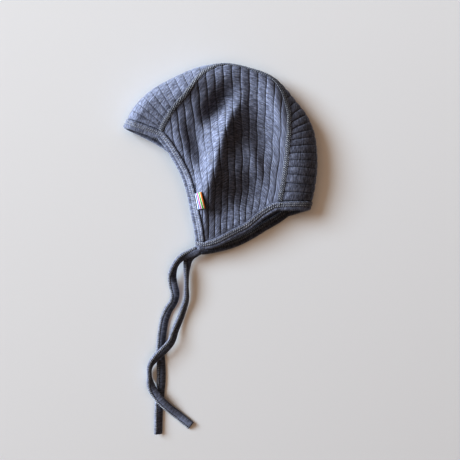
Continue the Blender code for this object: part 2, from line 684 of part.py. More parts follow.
def binding(name, opening, grids, colour):
    """A folded strip that wraps a hem: a channel with a leaf on each face of the cloth."""
    leaf = BINDING_LEAF
    gap = CHANNEL_SLACK
    under = -WALL
    width = BINDING_WIDTH
    # Each corner of the channel: distance in from the hem, and height off the cloth's outer face
    profile = (
        (leaf, gap), (width, gap), (width, gap + leaf), (width / 2, gap + BINDING_CROWN * leaf),
        (leaf, gap + leaf), (0.0, 0.0), (0.0, under), (leaf, under - gap - leaf),
        (width, under - gap - leaf), (width, under - gap), (leaf, under - gap),
    )
    strip, outwards = grids["centre"]
    edge, band = (0, 1) if opening == "face" else (-1, -2)
    bases = side_rings(grids["upper"], opening)
    for k in range(1, STRIP_STEPS):
        bases.append(((strip[edge, k], outwards[edge, k]), (strip[band, k], outwards[band, k])))
    bases += side_rings(grids["lower"], opening)[::-1]
    rings = []
    for (foot, foot_out), (head, head_out) in bases:
        ring = []
        for inset, height in profile:
            share = (inset - EDGE_INSET) / (BAND - EDGE_INSET)
            out = unit(foot_out + share * (head_out - foot_out))
            ring.append(foot + share * (head - foot) + height * out)
        rings.append(np.array(ring))
    swept_solid(name, rings, colour)


def tie(name, colour):
    """A flat band along its route, leaning to one side by its roll."""
    route = columns_of(TIE_ROUTES[name], ROUTE_COLUMNS)
    half_width = TIE_WIDTH / 2
    half_thick = TIE_THICKNESS / 2
    lean = np.radians(route["roll"])
    z = route["lift"] + half_width * abs(np.sin(lean)) + half_thick * np.cos(lean)
    chosen = np.column_stack((route["x"], route["y"], z))
    knots = run_lengths(chosen)
    at = np.linspace(0, knots[-1], TIE_STEPS + 1)
    centre = smooth(at, knots, chosen)
    lean = smooth(at, knots, lean)
    ahead = unit(np.gradient(centre, axis=0))
    flat = unit(np.cross((0.0, 0.0, 1.0), ahead))
    up = np.cross(ahead, flat)
    across = np.cos(lean)[:, None] * flat + np.sin(lean)[:, None] * up
    through = np.cross(ahead, across)
    flank = half_width - TIE_EDGE * half_thick
    thin = TIE_EDGE * half_thick
    profile = (
        (half_width, thin), (flank, half_thick), (-flank, half_thick), (-half_width, thin),
        (-half_width, -thin), (-flank, -half_thick), (flank, -half_thick), (half_width, -thin),
    )
    rings = [
        np.array([centre[i] + w * across[i] + t * through[i] for w, t in profile])
        for i in range(TIE_STEPS + 1)
    ]
    swept_solid(name, rings, colour)


def woven_tag():
    """A small folded tag that lies on the upper side, along the face binding's inner edge."""
    line = HEMS["upper"][0]
    run = run_lengths(line)
    at = TAG_PLACE * run[-1] + np.linspace(-TAG_LENGTH / 2, TAG_LENGTH / 2, TAG_STATIONS)
    index = np.interp(at, run, np.arange(len(run)))
    border = pick(line, index)
    inward = unit(pick(hem_inward(line), index))
    top = []
    bottom = []
    for share in np.linspace(0, 1, TAG_COURSES):
        inset = BINDING_WIDTH + 2 * CLEARANCE + share * TAG_WIDTH
        points, normals = cloth_at("upper", border + inset * inward)
        bottom.append(points + normals * TAG_RISE)
        top.append(points + normals * (TAG_RISE + TAG_THICKNESS))
    top = np.array(top)
    bottom = np.array(bottom)
    rings = [np.vstack((top[:, k], bottom[::-1, k])) for k in range(len(at))]
    swept_solid("woven_tag", rings, TAG_WHITE)


for old in list(bpy.data.objects):
    bpy.data.objects.remove(old, do_unlink=True)

cloths = {
    "upper": side_panel_grid("upper", UPPER_ROWS),
    "lower": side_panel_grid("lower", LOWER_ROWS),
    "centre": centre_panel_grid(),
}
sheet_solid("side_panel_upper", cloths["upper"][0], cloths["upper"][1], KNIT_BLUE)
sheet_solid("side_panel_lower", cloths["lower"][0], cloths["lower"][1], KNIT_SHADE)
sheet_solid("centre_panel", cloths["centre"][0], cloths["centre"][1], KNIT_BLUE)
binding("face_binding", "face", cloths, KNIT_SHADE)
binding("neck_binding", "neck", cloths, KNIT_SHADE)
tie("tie_upper", KNIT_DARK)
tie("tie_lower", KNIT_DARK)
woven_tag()
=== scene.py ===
# Looks of a knitted baby bonnet that lies on its side with its ties loose.
# The fine cloth follows the same outline, hems and seams as the solids it replaces, and their folds with a few
# finer ones added.
import math

import bpy
import numpy as np
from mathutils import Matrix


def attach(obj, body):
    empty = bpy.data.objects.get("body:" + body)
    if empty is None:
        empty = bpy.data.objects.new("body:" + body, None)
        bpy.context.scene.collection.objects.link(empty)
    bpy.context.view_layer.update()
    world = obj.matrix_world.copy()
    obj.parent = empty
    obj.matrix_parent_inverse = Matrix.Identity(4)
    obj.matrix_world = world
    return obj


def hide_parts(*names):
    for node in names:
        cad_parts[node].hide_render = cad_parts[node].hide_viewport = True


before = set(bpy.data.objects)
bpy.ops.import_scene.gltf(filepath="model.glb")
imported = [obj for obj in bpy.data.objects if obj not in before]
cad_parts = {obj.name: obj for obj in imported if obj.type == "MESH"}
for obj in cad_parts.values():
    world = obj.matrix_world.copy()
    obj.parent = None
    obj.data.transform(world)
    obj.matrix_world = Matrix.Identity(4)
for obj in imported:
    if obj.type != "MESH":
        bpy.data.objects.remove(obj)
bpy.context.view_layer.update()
print("frame:", ", ".join(sorted(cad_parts)))


# The camera looks straight down, as the photograph does
view = {"place": (0.0104, -0.0718, 0.93), "lens": 70, "sensor": 36}
cameraData = bpy.data.cameras.new("camera")
cameraData.lens = view["lens"]
cameraData.sensor_width = view["sensor"]
cameraObject = bpy.data.objects.new("camera", cameraData)
cameraObject.location = view["place"]
bpy.context.scene.collection.objects.link(cameraObject)
bpy.context.scene.camera = cameraObject


class Wire:     # a socket that can be used in an expression, which adds its Math nodes
    def __init__(self, finish, socket):
        self.finish = finish
        self.socket = socket

    def maths(self, operation, *values):
        node = self.finish.node("ShaderNodeMath", {"operation": operation}, values)
        return Wire(self.finish, node.outputs[0])

    def __add__(self, other):
        return self.maths("ADD", self, other)

    def __sub__(self, other):
        return self.maths("SUBTRACT", self, other)

    def __rsub__(self, other):
        return self.maths("SUBTRACT", other, self)

    def __mul__(self, other):
        return self.maths("MULTIPLY", self, other)

    def __truediv__(self, other):
        return self.maths("DIVIDE", self, other)

    def sine(self):
        return self.maths("SINE", self)

    def fold(self, size):       # up and down between 0 and size
        return self.maths("PINGPONG", self, size)

    def ramp(self, low, high):      # 0 at low, 1 at high
        settings = {"interpolation_type": "SMOOTHSTEP"}
        values = {"Value": self, "From Min": low, "From Max": high}
        node = self.finish.node("ShaderNodeMapRange", settings, values)
        return Wire(self.finish, node.outputs[0])

    __radd__ = __add__
    __rmul__ = __mul__


class Finish:       # a material and the nodes in it
    def __init__(self, name):
        self.material = bpy.data.materials.new(name)
        self.material.use_nodes = True
        self.tree = self.material.node_tree
        self.shader = self.tree.nodes["Principled BSDF"]

    def node(self, kind, settings=None, values=()):
        node = self.tree.nodes.new(kind)
        for name, value in (settings or {}).items():
            setattr(node, name, value)
        pairs = values.items() if isinstance(values, dict) else enumerate(values)
        for key, value in pairs:
            self.put(node.inputs[key], value)
        return node

    def put(self, socket, value):
        if isinstance(value, Wire):
            value = value.socket
        if isinstance(value, bpy.types.NodeSocket):
            self.tree.links.new(value, socket)
        else:
            socket.default_value = value

    def surface(self, **values):        # the shader's own sockets, by their names with _ for a space
        for name, value in values.items():
            self.put(self.shader.inputs[name.replace("_", " ")], value)

    def uv(self):       # across and along the cloth, in metres
        vector = self.node("ShaderNodeUVMap", {"uv_map": "cloth"}).outputs[0]
        parts = self.node("ShaderNodeSeparateXYZ", values=[vector])
        return Wire(self, parts.outputs[0]), Wire(self, parts.outputs[1])

    def noise(self, across, along, scale, detail=2.0, roughness=0.5, shift=0.0):
        vector = self.node("ShaderNodeCombineXYZ", values=[across, along, shift]).outputs[0]
        values = {"Vector": vector, "Scale": scale, "Detail": detail, "Roughness": roughness}
        return Wire(self, self.node("ShaderNodeTexNoise", {"noise_dimensions": "3D"}, values).outputs[0])

    def mix(self, factor, first, second, blend="MIX"):
        settings = {"data_type": "RGBA", "blend_type": blend}
        return self.node("ShaderNodeMix", settings, {0: factor, 6: first, 7: second}).outputs[2]

    def bump(self, height, distance, strength=1.0, normal=None):
        values = {"Height": height, "Distance": distance, "Strength": strength}
        if normal is not None:
            values["Normal"] = normal
        return self.node("ShaderNodeBump", values=values).outputs[0]


# Driving dimensions of the bonnet and its cloth, in metres. Heights and lifts of hem and dome are shares of the
# loft, and their reaches shares of the height. From hemFoldReach to cornerClear they are binding widths.
bonnet = {
    "length": 0.200, "height": 0.196, "loft": 0.038, "wall": 0.002, "stripWidth": 0.056,
    "ribPitch": 0.0083, "peakPitch": 0.0094, "bindingWidth": 0.0094, "bindingLeaf": 0.0010, "slack": 0.0006,
    "hemHeight": 0.61, "hemRiseBack": 0.23, "hemRiseCrown": 0.31, "topHeight": 0.86, "domeReach": 0.24,
    "chinLift": 0.13, "chinLiftReach": 0.30, "hemFoldShare": 0.35,
    "hemFoldReach": 2.0, "lowerFlat": 1.1, "lowerRise": 2.4, "cornerClear": 1.3,
    "fineStep": 0.0005, "hemStep": 0.001, "stripHemPoints": 24, "extension": 0.060,
}
size = np.array((bonnet["length"], bonnet["height"]))
loft = bonnet["loft"]
pitch = bonnet["ribPitch"]
edgeInset = bonnet["bindingLeaf"] + bonnet["slack"]     # from the hem to the cloth's edge, inside the binding
band = bonnet["bindingWidth"] + bonnet["slack"]         # from the hem to just past the binding
onFloor = 0.0001        # the lowest that cloth lies
sides = ("upper", "lower")

# Cross-sections of the centre panel from the peak over the crown to the nape, as in the solids:
# x and y are shares of length and height, apex and rolls of the loft, insets of the strip's width
sectionColumns = ("x", "y", "apex", "upperInset", "lowerInset", "upperRoll", "lowerRoll")
sections = {
    "peakEdge":   (-0.494, 0.167, 0.30, 0.68, 0.32, 0.32, 0.30),
    "peakRise":   (-0.452, 0.259, 0.30, 0.67, 0.32, 0.34, 0.30),
    "peak":       (-0.357, 0.360, 0.32, 0.60, 0.32, 0.42, 0.34),
    "brow":       (-0.236, 0.430, 0.38, 0.45, 0.35, 0.52, 0.38),
    "crownFront": (-0.090, 0.487, 0.46, 0.15, 0.44, 0.62, 0.42),
    "crownTop":   (0.030, 0.498, 0.50, 0.00, 0.50, 0.64, 0.45),
    "crown":      (0.152, 0.474, 0.50, 0.00, 0.50, 0.64, 0.45),
    "crownBack":  (0.280, 0.422, 0.48, 0.030, 0.47, 0.66, 0.44),
    "upperBack":  (0.394, 0.299, 0.44, 0.235, 0.42, 0.72, 0.42),
    "backTurn":   (0.438, 0.242, 0.42, 0.395, 0.39, 0.76, 0.41),
    "backBend":   (0.470, 0.182, 0.40, 0.477, 0.37, 0.80, 0.40),
    "back":       (0.499, 0.017, 0.38, 0.582, 0.34, 0.80, 0.38),
    "nape":       (0.489, -0.141, 0.36, 0.609, 0.34, 0.76, 0.36),
    "napeEdge":   (0.460, -0.264, 0.34, 0.588, 0.34, 0.70, 0.34),
}
# How far the strip's hems run past the end sections, as shares of the strip's width
peakOverrun = {"upper": -0.05, "lower": 0.00}
napeOverrun = {"upper": 0.16, "lower": 0.19}

# Hems of the side panels, as shares of length and height
faceHem = {
    "upper": [(-0.286, 0.069), (-0.255, 0.021), (-0.227, -0.027), (-0.193, -0.097), (-0.167, -0.185),
              (-0.150, -0.273), (-0.1325, -0.361), (-0.122, -0.435)],
    "lower": [(-0.330, 0.085), (-0.260, 0.034), (-0.205, -0.050), (-0.165, -0.155), (-0.142, -0.275),
              (-0.128, -0.385), (-0.122, -0.455)],
}
chinCorner = {"upper": (-0.122, -0.474), "lower": (-0.112, -0.498)}
neckHem = {
    "upper": [(-0.070, -0.471), (-0.021, -0.458), (0.083, -0.406), (0.152, -0.370), (0.238, -0.300)],
    "lower": [(-0.075, -0.496), (-0.021, -0.485), (0.066, -0.462), (0.152, -0.423), (0.238, -0.370),
              (0.315, -0.324)],
}

# Folds of the upper side, long soft swellings and dents: the middle as shares of length and height, half
# length and half width as shares of length, degrees from +X, and height as a share of the loft
folds = {
    "seamRidge":    (-0.165, 0.350, 0.150, 0.038, 43, 0.08),
    "frontValley":  (0.005, 0.280, 0.130, 0.056, 50, -0.31),
    "mainRidge":    (0.026, 0.135, 0.130, 0.047, 75, 0.24),
    "lowRidge":     (-0.052, -0.110, 0.125, 0.052, 76, 0.27),
    "mainValley":   (0.195, 0.143, 0.190, 0.095, 90, -0.24),
    "lowDent":      (0.140, -0.165, 0.120, 0.090, 25, -0.32),
    "chinDent":     (0.020, -0.270, 0.080, 0.062, 0, -0.16),
    "seamCrest":    (0.300, 0.240, 0.160, 0.045, 101, 0.08),
    "faceValley":   (-0.112, 0.065, 0.125, 0.045, 110, -0.20),
    "topShade":     (0.160, 0.345, 0.080, 0.045, 85, -0.08),
    "smallRidge":   (0.176, 0.000, 0.110, 0.034, 104, 0.100),
    "chinRidge":    (-0.090, -0.335, 0.080, 0.030, 95, 0.09),
}


def smooth(at, knots, values):      # values on a smooth curve through a table's rows
    values = np.asarray(values, float)
    slope = np.gradient(values, knots, axis=0)
    at = np.clip(at, knots[0], knots[-1])
    index = np.clip(np.searchsorted(knots, at) - 1, 0, len(knots) - 2)
    step = knots[index + 1] - knots[index]
    u = (at - knots[index]) / step
    if values.ndim == 2:
        u = u[:, None]
        step = step[:, None]
    start = (2 * u**3 - 3 * u**2 + 1) * values[index] + (u**3 - 2 * u**2 + u) * step * slope[index]
    end = (3 * u**2 - 2 * u**3) * values[index + 1] + (u**3 - u**2) * step * slope[index + 1]
    return start + end


def unit(vectors):
    return vectors / np.linalg.norm(vectors, axis=-1, keepdims=True)


def runLengths(points):     # length along a row of points, from 0
    return np.concatenate(([0.0], np.cumsum(np.linalg.norm(np.diff(points, axis=0), axis=1))))


def smoothRun(points, step):        # close points on a smooth curve through a few chosen ones
    points = np.asarray(points, float)
    knots = runLengths(points)
    count = max(2, int(round(knots[-1] / step)) + 1)
    return smooth(np.linspace(0, knots[-1], count), knots, points)


def leftOf(direction):
    return np.stack((-direction[..., 1], direction[..., 0]), axis=-1)


def ease(u):
    u = np.clip(u, 0, 1)
    return u * u * (3 - 2 * u)


def pick(rows, index):      # rows of an array at fractional indices
    low = np.clip(np.floor(index).astype(int), 0, len(rows) - 2)
    part = (index - low).reshape((-1,) + (1,) * (rows.ndim - 1))
    return rows[low] * (1 - part) + rows[low + 1] * part


def evenly(points, count):      # fractional indices of count + 1 stations at equal lengths
    run = runLengths(points)
    return np.interp(np.linspace(0, run[-1], count + 1), run, np.arange(len(points)))


def nearestOn(xy, line, run):       # length along a line of the nearest place to each point, and its distance
    start = line[:-1]
    step = np.diff(line, axis=0)
    square = (step * step).sum(axis=1)
    batch = 3000        # points at a time, to keep the tables small
    along = np.empty(len(xy))
    away = np.empty(len(xy))
    for low in range(0, len(xy), batch):
        gap = xy[low:low + batch, None, :] - start[None]
        share = np.clip((gap * step[None]).sum(axis=2) / square, 0, 1)
        gap -= share[..., None] * step[None]
        distance = (gap * gap).sum(axis=2)
        best = distance.argmin(axis=1)
        row = np.arange(len(best))
        away[low:low + batch] = np.sqrt(distance[row, best])
        along[low:low + batch] = run[best] + share[row, best] * (run[best + 1] - run[best])
    return along, away


# The outline in plan is the centre panel's middle fold
outline = {}


def drawOutline():
    rows = np.array(list(sections.values()))
    width = bonnet["stripWidth"]
    scales = (size[0], size[1], loft, width, width, loft, loft)
    for i, name in enumerate(sectionColumns):
        outline[name] = rows[:, i] * scales[i]
    chosen = np.stack((outline["x"], outline["y"]), axis=1)
    knots = runLengths(chosen)
    param = np.linspace(0, knots[-1], int(round(knots[-1] / bonnet["fineStep"])) + 1)
    points = smooth(param, knots, chosen)
    dirs = unit(np.gradient(points, axis=0))
    run = runLengths(points)
    start = points[0] - dirs[0] * bonnet["extension"]
    end = points[-1] + dirs[-1] * bonnet["extension"]
    outline.update(knots=knots, param=param, points=points, dirs=dirs, run=run, total=run[-1])
    outline["longPoints"] = np.vstack((start, points, end))
    outline["longRun"] = np.concatenate(([-bonnet["extension"]], run, [run[-1] + bonnet["extension"]]))


drawOutline()


def sectionValue(name, s):      # a column of the section table at lengths along the outline
    at = np.interp(s, outline["run"], outline["param"])
    return np.maximum(smooth(at, outline["knots"], outline[name]), 0)


def outlinePlace(s):        # plan points and directions, straight past the outline's ends
    points = np.stack([np.interp(s, outline["longRun"], outline["longPoints"][:, i]) for i in (0, 1)], axis=-1)
    dirs = unit(np.stack([np.interp(s, outline["run"], outline["dirs"][:, i]) for i in (0, 1)], axis=-1))
    return points, dirs


def stripShare(side, peak):     # the centre panel's width on one side, at the peak or at the nape
    return sectionValue(side + "Inset", np.array([0.0 if peak else outline["total"]]))[0]


def stripEnd(side, peak, inset):        # where the centre panel's hem lies, at a distance from the middle fold
    end = 0.0 if peak else outline["total"]
    overrun = (-peakOverrun[side] if peak else napeOverrun[side]) * bonnet["stripWidth"]
    return end + overrun * inset / stripShare(side, peak)


def seamPlan(side, s):
    points, dirs = outlinePlace(s)
    return points - leftOf(dirs) * sectionValue(side + "Inset", s)[:, None]


def seamRange(side):
    return [stripEnd(side, peak, stripShare(side, peak)) for peak in (True, False)]


def seamLine(side):
    start, end = seamRange(side)
    inner = outline["run"][(outline["run"] > start + 1e-6) & (outline["run"] < end - 1e-6)]
    return seamPlan(side, np.concatenate(([start], inner, [end])))


def hemLine(side):      # the face edge down to the chin, and the neck edge to the nape
    seam = seamLine(side)
    chin = np.array([chinCorner[side]]) * size
    face = np.vstack((seam[0], np.array(faceHem[side]) * size, chin))
    neck = np.vstack((chin, np.array(neckHem[side]) * size, seam[-1]))
    return smoothRun(face, bonnet["hemStep"]), smoothRun(neck, bonnet["hemStep"])


def stripHem(side, peak):       # plan points of the centre panel's hem on one side
    inset = np.linspace(0, stripShare(side, peak), bonnet["stripHemPoints"])
    points, dirs = outlinePlace(stripEnd(side, peak, inset))
    return points - leftOf(dirs) * inset[:, None]


seams = {side: seamLine(side) for side in sides}
hems = {side: hemLine(side) for side in sides}
openings = {}       # hems of the two openings with the centre panel's share of them
for side in sides:
    face, neck = hems[side]
    wholeFace = np.vstack((stripHem(side, True), face[1:]))
    wholeNeck = np.vstack((neck, stripHem(side, False)[::-1][1:]))
    openings[side] = wholeFace, wholeNeck


def foldHeight(xy):     # what the folds add to the upper side
    total = np.zeros(len(xy))
    for x, y, length, width, slant, height in folds.values():
        gap = xy - np.array((x, y)) * size
        turn = math.radians(slant)
        along = (gap[:, 0] * math.cos(turn) + gap[:, 1] * math.sin(turn)) / (length * size[0])
        away = (gap[:, 1] * math.cos(turn) - gap[:, 0] * math.sin(turn)) / (width * size[0])
        total += height * loft * np.exp(-along**2 - away**2)
    return total


def hemDistances(side, xy):     # to the face hem and to the neck hem
    return [nearestOn(xy, line, runLengths(line))[1] for line in openings[side]]


def upperLevel(xy):
    distances = hemDistances("upper", xy)
    rise = bonnet["hemRiseBack"] * xy[:, 0] / size[0] + bonnet["hemRiseCrown"] * xy[:, 1] / size[1]
    hem = bonnet["hemHeight"] + rise
    dome = 1.0
    for distance in distances:
        dome = dome * np.sin(np.clip(distance / (bonnet["domeReach"] * size[1]), 0, 1) * math.pi / 2)
    share = bonnet["hemFoldShare"]
    reach = bonnet["hemFoldReach"] * bonnet["bindingWidth"]
    share = share + (1 - share) * ease(np.minimum(*distances) / reach)
    return loft * (hem + (bonnet["topHeight"] - hem) * dome) + foldHeight(xy) * share


def lowerLevel(xy):
    distance = np.minimum(*hemDistances("lower", xy))
    flat = bonnet["lowerFlat"] * bonnet["bindingWidth"]
    offHem = ease((distance - flat) / (bonnet["lowerRise"] * bonnet["bindingWidth"] - flat))
    chin = np.array(chinCorner["lower"]) * size
    offChin = ease(np.linalg.norm(xy - chin, axis=1) / (bonnet["chinLiftReach"] * size[1]))
    return edgeInset * (1 - offHem) + bonnet["chinLift"] * loft * (1 - offChin)


levels = {"upper": upperLevel, "lower": lowerLevel}


def clothPoints(side, s, distance, xy=None):        # the outer face and its outward normals
    points, dirs = outlinePlace(s)
    inward = -leftOf(dirs)
    if xy is None:
        xy = points + inward * distance[:, None]
    level = levels[side]
    step = bonnet["fineStep"]
    height = level(xy)
    slopeX = (level(xy + (step, 0)) - level(xy - (step, 0))) / (2 * step)
    slopeY = (level(xy + (0, step)) - level(xy - (0, step))) / (2 * step)
    apex = sectionValue("apex", s)
    roll = sectionValue(side + "Roll", s)
    cos = 1 - np.minimum(distance / roll, 1)
    sin = np.sqrt(1 - cos * cos)
    rise = height - apex
    tilt = np.stack((slopeX, slopeY), axis=1)
    lean = -(rise / roll * cos)[:, None] * inward - (sin * sin)[:, None] * tilt
    normal = unit(np.column_stack((lean, sin)))
    if side == "lower":
        normal = -normal
    return np.column_stack((xy, apex + rise * sin)), normal


def clothAt(side, xy):
    s, distance = nearestOn(xy, outline["longPoints"], outline["longRun"])
    return clothPoints(side, s, distance, xy)


print("cloth worked out")


# Relief of the rib knit: round ribs between narrow furrows, faint lines across them, and a little waver.
# Columns are places across a rib. The ribs are wider near the peak, for a share of the way over the crown.
relief = {
    "depth": 0.00060, "furrow": 0.0007, "furrowPower": 1.3, "swell": 0.00014,
    "crossPitch": 0.0095, "crossDepth": 0.00018, "crossWidth": 0.0005,
    "waver": 0.0004, "waverAlong": 190, "waverAcross": 1.3, "waverTwist": 1.7, "waverEnds": 8,
    "columns": (0.0, 0.04, 0.09, 0.17, 0.33, 0.50, 0.67, 0.83, 0.91, 0.96),
    "lowerColumns": (0.0, 0.06, 0.16, 0.35, 0.65, 0.84, 0.94),
    "upperRows": 136, "lowerRows": 90, "stripRows": 56, "closest": 0.02,
    "firstRib": (-0.134, 0.24), "slant": 0.12, "slantFoot": -0.16, "leanBack": 0.10,
    "seamFade": 0.003, "hemFade": 0.002,
    "peakShare": 0.6, "peakRun": 0.30, "peakBlend": 0.25, "skewReach": 4,
    "fineRows": 160, "fineRun": 600, "fineArc": 48,
}


def ribRelief(ribs, along):     # height of the knit at a rib number and a length along the rib
    phase = np.minimum(ribs % 1, 1 - ribs % 1)
    furrow = np.exp(-(phase * pitch / relief["furrow"])**relief["furrowPower"])
    line = (along % relief["crossPitch"]) - relief["crossPitch"] / 2
    cross = np.exp(-(line / relief["crossWidth"])**2) * (1 - furrow)
    swell = relief["swell"] * (1 - np.sin(math.pi * (ribs % 1)))
    return -relief["depth"] * furrow - swell - relief["crossDepth"] * cross


def backSeam(side):
    seam = seams[side]
    back = seam[np.argmax(seam[:, 0]):]
    return back[::-1, 1], back[::-1, 0]


def firstRib(yAt):
    x, y = np.array(relief["firstRib"]) * size
    return x + relief["slant"] * (y - np.maximum(yAt, relief["slantFoot"] * size[1]))


def lastRib(side, yAt):
    y, x = backSeam(side)
    return np.interp(yAt, y, x) + relief["leanBack"] * np.maximum(yAt - y[-1], 0)


def ribPlace(side, xy):     # 0 on the first rib, 1 along the back seam
    first = firstRib(xy[:, 1])
    return (xy[:, 0] - first) / (lastRib(side, xy[:, 1]) - first)


def ribPoint(side, place, yAt):
    first = firstRib(yAt)
    return np.stack((first + place * (lastRib(side, yAt) - first), yAt), axis=1)


def ribCount(side):
    return int(round((backSeam(side)[1].max() - relief["firstRib"][0] * size[0]) / pitch))


def rising(values):     # the entries of a row that each exceed all before them
    keep = [0]
    for i in range(1, len(values)):
        if values[i] > values[keep[-1]] + 1e-6:
            keep.append(i)
    return np.array(keep)


def hemInward(line):
    return leftOf(unit(np.gradient(line, axis=0)))


def hemRows(side):      # a side panel's edge inside the binding, and its first row past the binding
    face, neck = hems[side]
    faceIn, neckIn = hemInward(face), hemInward(neck)
    clear = bonnet["cornerClear"] * band
    keepFace = np.linalg.norm(face - face[-1], axis=1) > clear
    keepNeck = np.linalg.norm(neck - neck[0], axis=1) > clear
    seamStart, seamEnd = seamRange(side)
    rows = []
    for inset in (edgeInset, band):
        corner = face[-1] + inset * (faceIn[-1] + neckIn[0])
        first = seamPlan(side, np.array([seamStart + inset]))
        last = seamPlan(side, np.array([seamEnd - inset]))
        rows.append(np.vstack((first, (face + inset * faceIn)[keepFace], corner,
                               (neck + inset * neckIn)[keepNeck], last)))
    return rows[0], rows[1], 1 + int(keepFace.sum())


def atPlace(place, places, keep, line):
    return np.array([np.interp(place, places[keep], line[keep, i]) for i in (0, 1)])


def columnPlaces(ribs, places, chin, shares):
    first = math.floor(places[0] * ribs)
    columns = np.array([(rib + share) / ribs for rib in range(first, ribs) for share in shares] + [1.0])
    columns = np.concatenate(([places[0]], columns[columns > places[0] + relief["closest"] / ribs]))
    atChin = int(np.argmin(abs(columns - places[chin])))
    columns[atChin] = places[chin]
    return columns, atChin


def gridOf(columns):        # points, normals, rib numbers and lengths along the ribs
    return dict(zip(("points", "normals", "ribs", "along"), [np.array(part) for part in zip(*columns)]))


def sidePanelGrid(side, shares, rows):
    edge, bandLine, chin = hemRows(side)
    seam = seams[side]
    ribs = ribCount(side)
    bandPlaces = ribPlace(side, bandLine)
    seamPlaces = ribPlace(side, seam)
    keepBand, keepSeam = rising(bandPlaces), rising(seamPlaces)
    places, chinColumn = columnPlaces(ribs, bandPlaces, chin, shares)
    columns = []
    for place in places:
        foot = atPlace(place, bandPlaces, keepBand, edge)
        start = atPlace(place, bandPlaces, keepBand, bandLine)
        head = atPlace(place, seamPlaces, keepSeam, seam)
        share = np.linspace(0, 1, relief["fineRows"])[:, None]
        line = ribPoint(side, place, start[1] + share[:, 0] * (head[1] - start[1]))
        line = line + (1 - share) * (start - line[0]) + share * (head - line[-1])
        ends = relief["waverEnds"]
        free = (ease(share * ends) * ease((1 - share) * ends))[:, 0] * min(1, (1 - place) * ribs)
        turn = relief["waverTwist"] * np.sin(place * ribs * relief["waverAcross"])
        line[:, 0] += relief["waver"] * free * np.sin(line[:, 1] * relief["waverAlong"] + turn)
        points, normals = clothAt(side, np.vstack((foot, line)))
        index = 1 + evenly(points[1:], rows - 1)
        points = np.vstack((points[:1], pick(points, index)))
        normals = unit(np.vstack((normals[:1], pick(normals, index))))
        along = runLengths(points)
        along = along[-1] - along       # counted from the seam, so that lines across the ribs meet
        fade = ease(along[1:] / relief["seamFade"]) * ease((along[1] - along[1:]) / relief["hemFade"])
        points[1:] += normals[1:] * (ribRelief(np.full(rows, place * ribs), along[1:]) * fade)[:, None]
        columns.append((points, normals, np.full(rows + 1, place * ribs), head[1] - points[:, 1]))
    grid = gridOf(columns)
    grid["chin"] = chinColumn
    return grid


def centrePanelGrid(shares, steps):
    total = outline["total"]
    ribbedRun = np.linspace(band, total - band, relief["fineRun"])
    wide = bonnet["peakPitch"] - pitch
    density = 1 / (pitch + wide * (1 - ease((ribbedRun / total - relief["peakRun"]) / relief["peakBlend"])))
    number = np.concatenate(([0.0], np.cumsum((density[1:] + density[:-1]) / 2 * np.diff(ribbedRun))))
    ribs = int(round(number[-1]))
    number *= ribs / number[-1]
    numbers = np.array([rib + share for rib in range(ribs) for share in shares] + [float(ribs)])
    ribbed = np.interp(numbers, number, ribbedRun)
    places = np.concatenate(([edgeInset], ribbed, [total - edgeInset]))
    numbers = np.concatenate(([0.0], numbers, [float(ribs)]))
    reach = relief["skewReach"] * pitch
    arc = 1 - np.cos(np.linspace(0, math.pi / 2, relief["fineArc"]))
    columns = []
    for s, number in zip(places, numbers):
        part = {}
        nearPeak = 1 - ease((s - band) / reach)
        nearNape = 1 - ease((total - band - s) / reach)
        for side in sides:
            inset = sectionValue(side + "Inset", np.array([s]))[0]
            distance = inset * arc
            skew = nearPeak * stripEnd(side, True, distance)
            skew = skew + nearNape * (stripEnd(side, False, distance) - total)
            part[side] = clothPoints(side, s + skew, distance)
        points = np.vstack((part["upper"][0][::-1], part["lower"][0][1:]))
        normals = np.vstack((part["upper"][1][::-1], part["lower"][1][1:]))
        index = evenly(points, steps)
        points, normals = pick(points, index), unit(pick(normals, index))
        along = runLengths(points)
        fade = ease(along / relief["seamFade"]) * ease((along[-1] - along) / relief["seamFade"])
        offPeak = ease((s / total - relief["peakRun"]) / relief["peakBlend"])
        fade *= relief["peakShare"] + (1 - relief["peakShare"]) * offPeak
        points += normals * (ribRelief(np.full(steps + 1, number), along) * fade)[:, None]
        columns.append((points, normals, np.full(steps + 1, number), along))
    return gridOf(columns)


def latticePiece(name, points, across, along, outward, wall):
    # A grid primitive takes the cloth's points and its own UV map, and a Solidify gives it its wall
    a, b = points.shape[0] // 2, points.shape[1] // 2
    cross = np.cross(points[a + 1, b] - points[a, b], points[a, b + 1] - points[a, b])
    if cross @ outward[a, b] < 0:
        points, across, along = points[::-1], across[::-1], along[::-1]
    columns, rows = points.shape[:2]
    bpy.ops.object.select_all(action="DESELECT")
    bpy.ops.mesh.primitive_grid_add(x_subdivisions=columns - 1, y_subdivisions=rows - 1, size=1)
    piece = bpy.context.object
    piece.name = name
    mesh = piece.data
    mesh.vertices.foreach_set("co", points.transpose(1, 0, 2).reshape(-1))
    mesh.uv_layers[0].name = "cloth"
    corners = np.zeros(len(mesh.loops), int)
    mesh.loops.foreach_get("vertex_index", corners)
    table = np.stack((across.T.reshape(-1), along.T.reshape(-1)), axis=1)
    mesh.uv_layers[0].data.foreach_set("uv", table[corners].reshape(-1))
    solidify = piece.modifiers.new("wall", "SOLIDIFY")
    solidify.thickness = wall
    solidify.offset = -1
    bpy.ops.object.modifier_apply(modifier="wall")
    for vertex in piece.data.vertices:      # no cloth lies under the floor
        vertex.co.z = max(vertex.co.z, 0.0)
    bpy.ops.object.shade_smooth()
    return piece


def settle(piece, finish, slot, *nodes):
    piece.data.materials.clear()
    piece.data.materials.append(finish.material)
    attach(piece, "root")
    if nodes:
        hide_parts(*nodes)


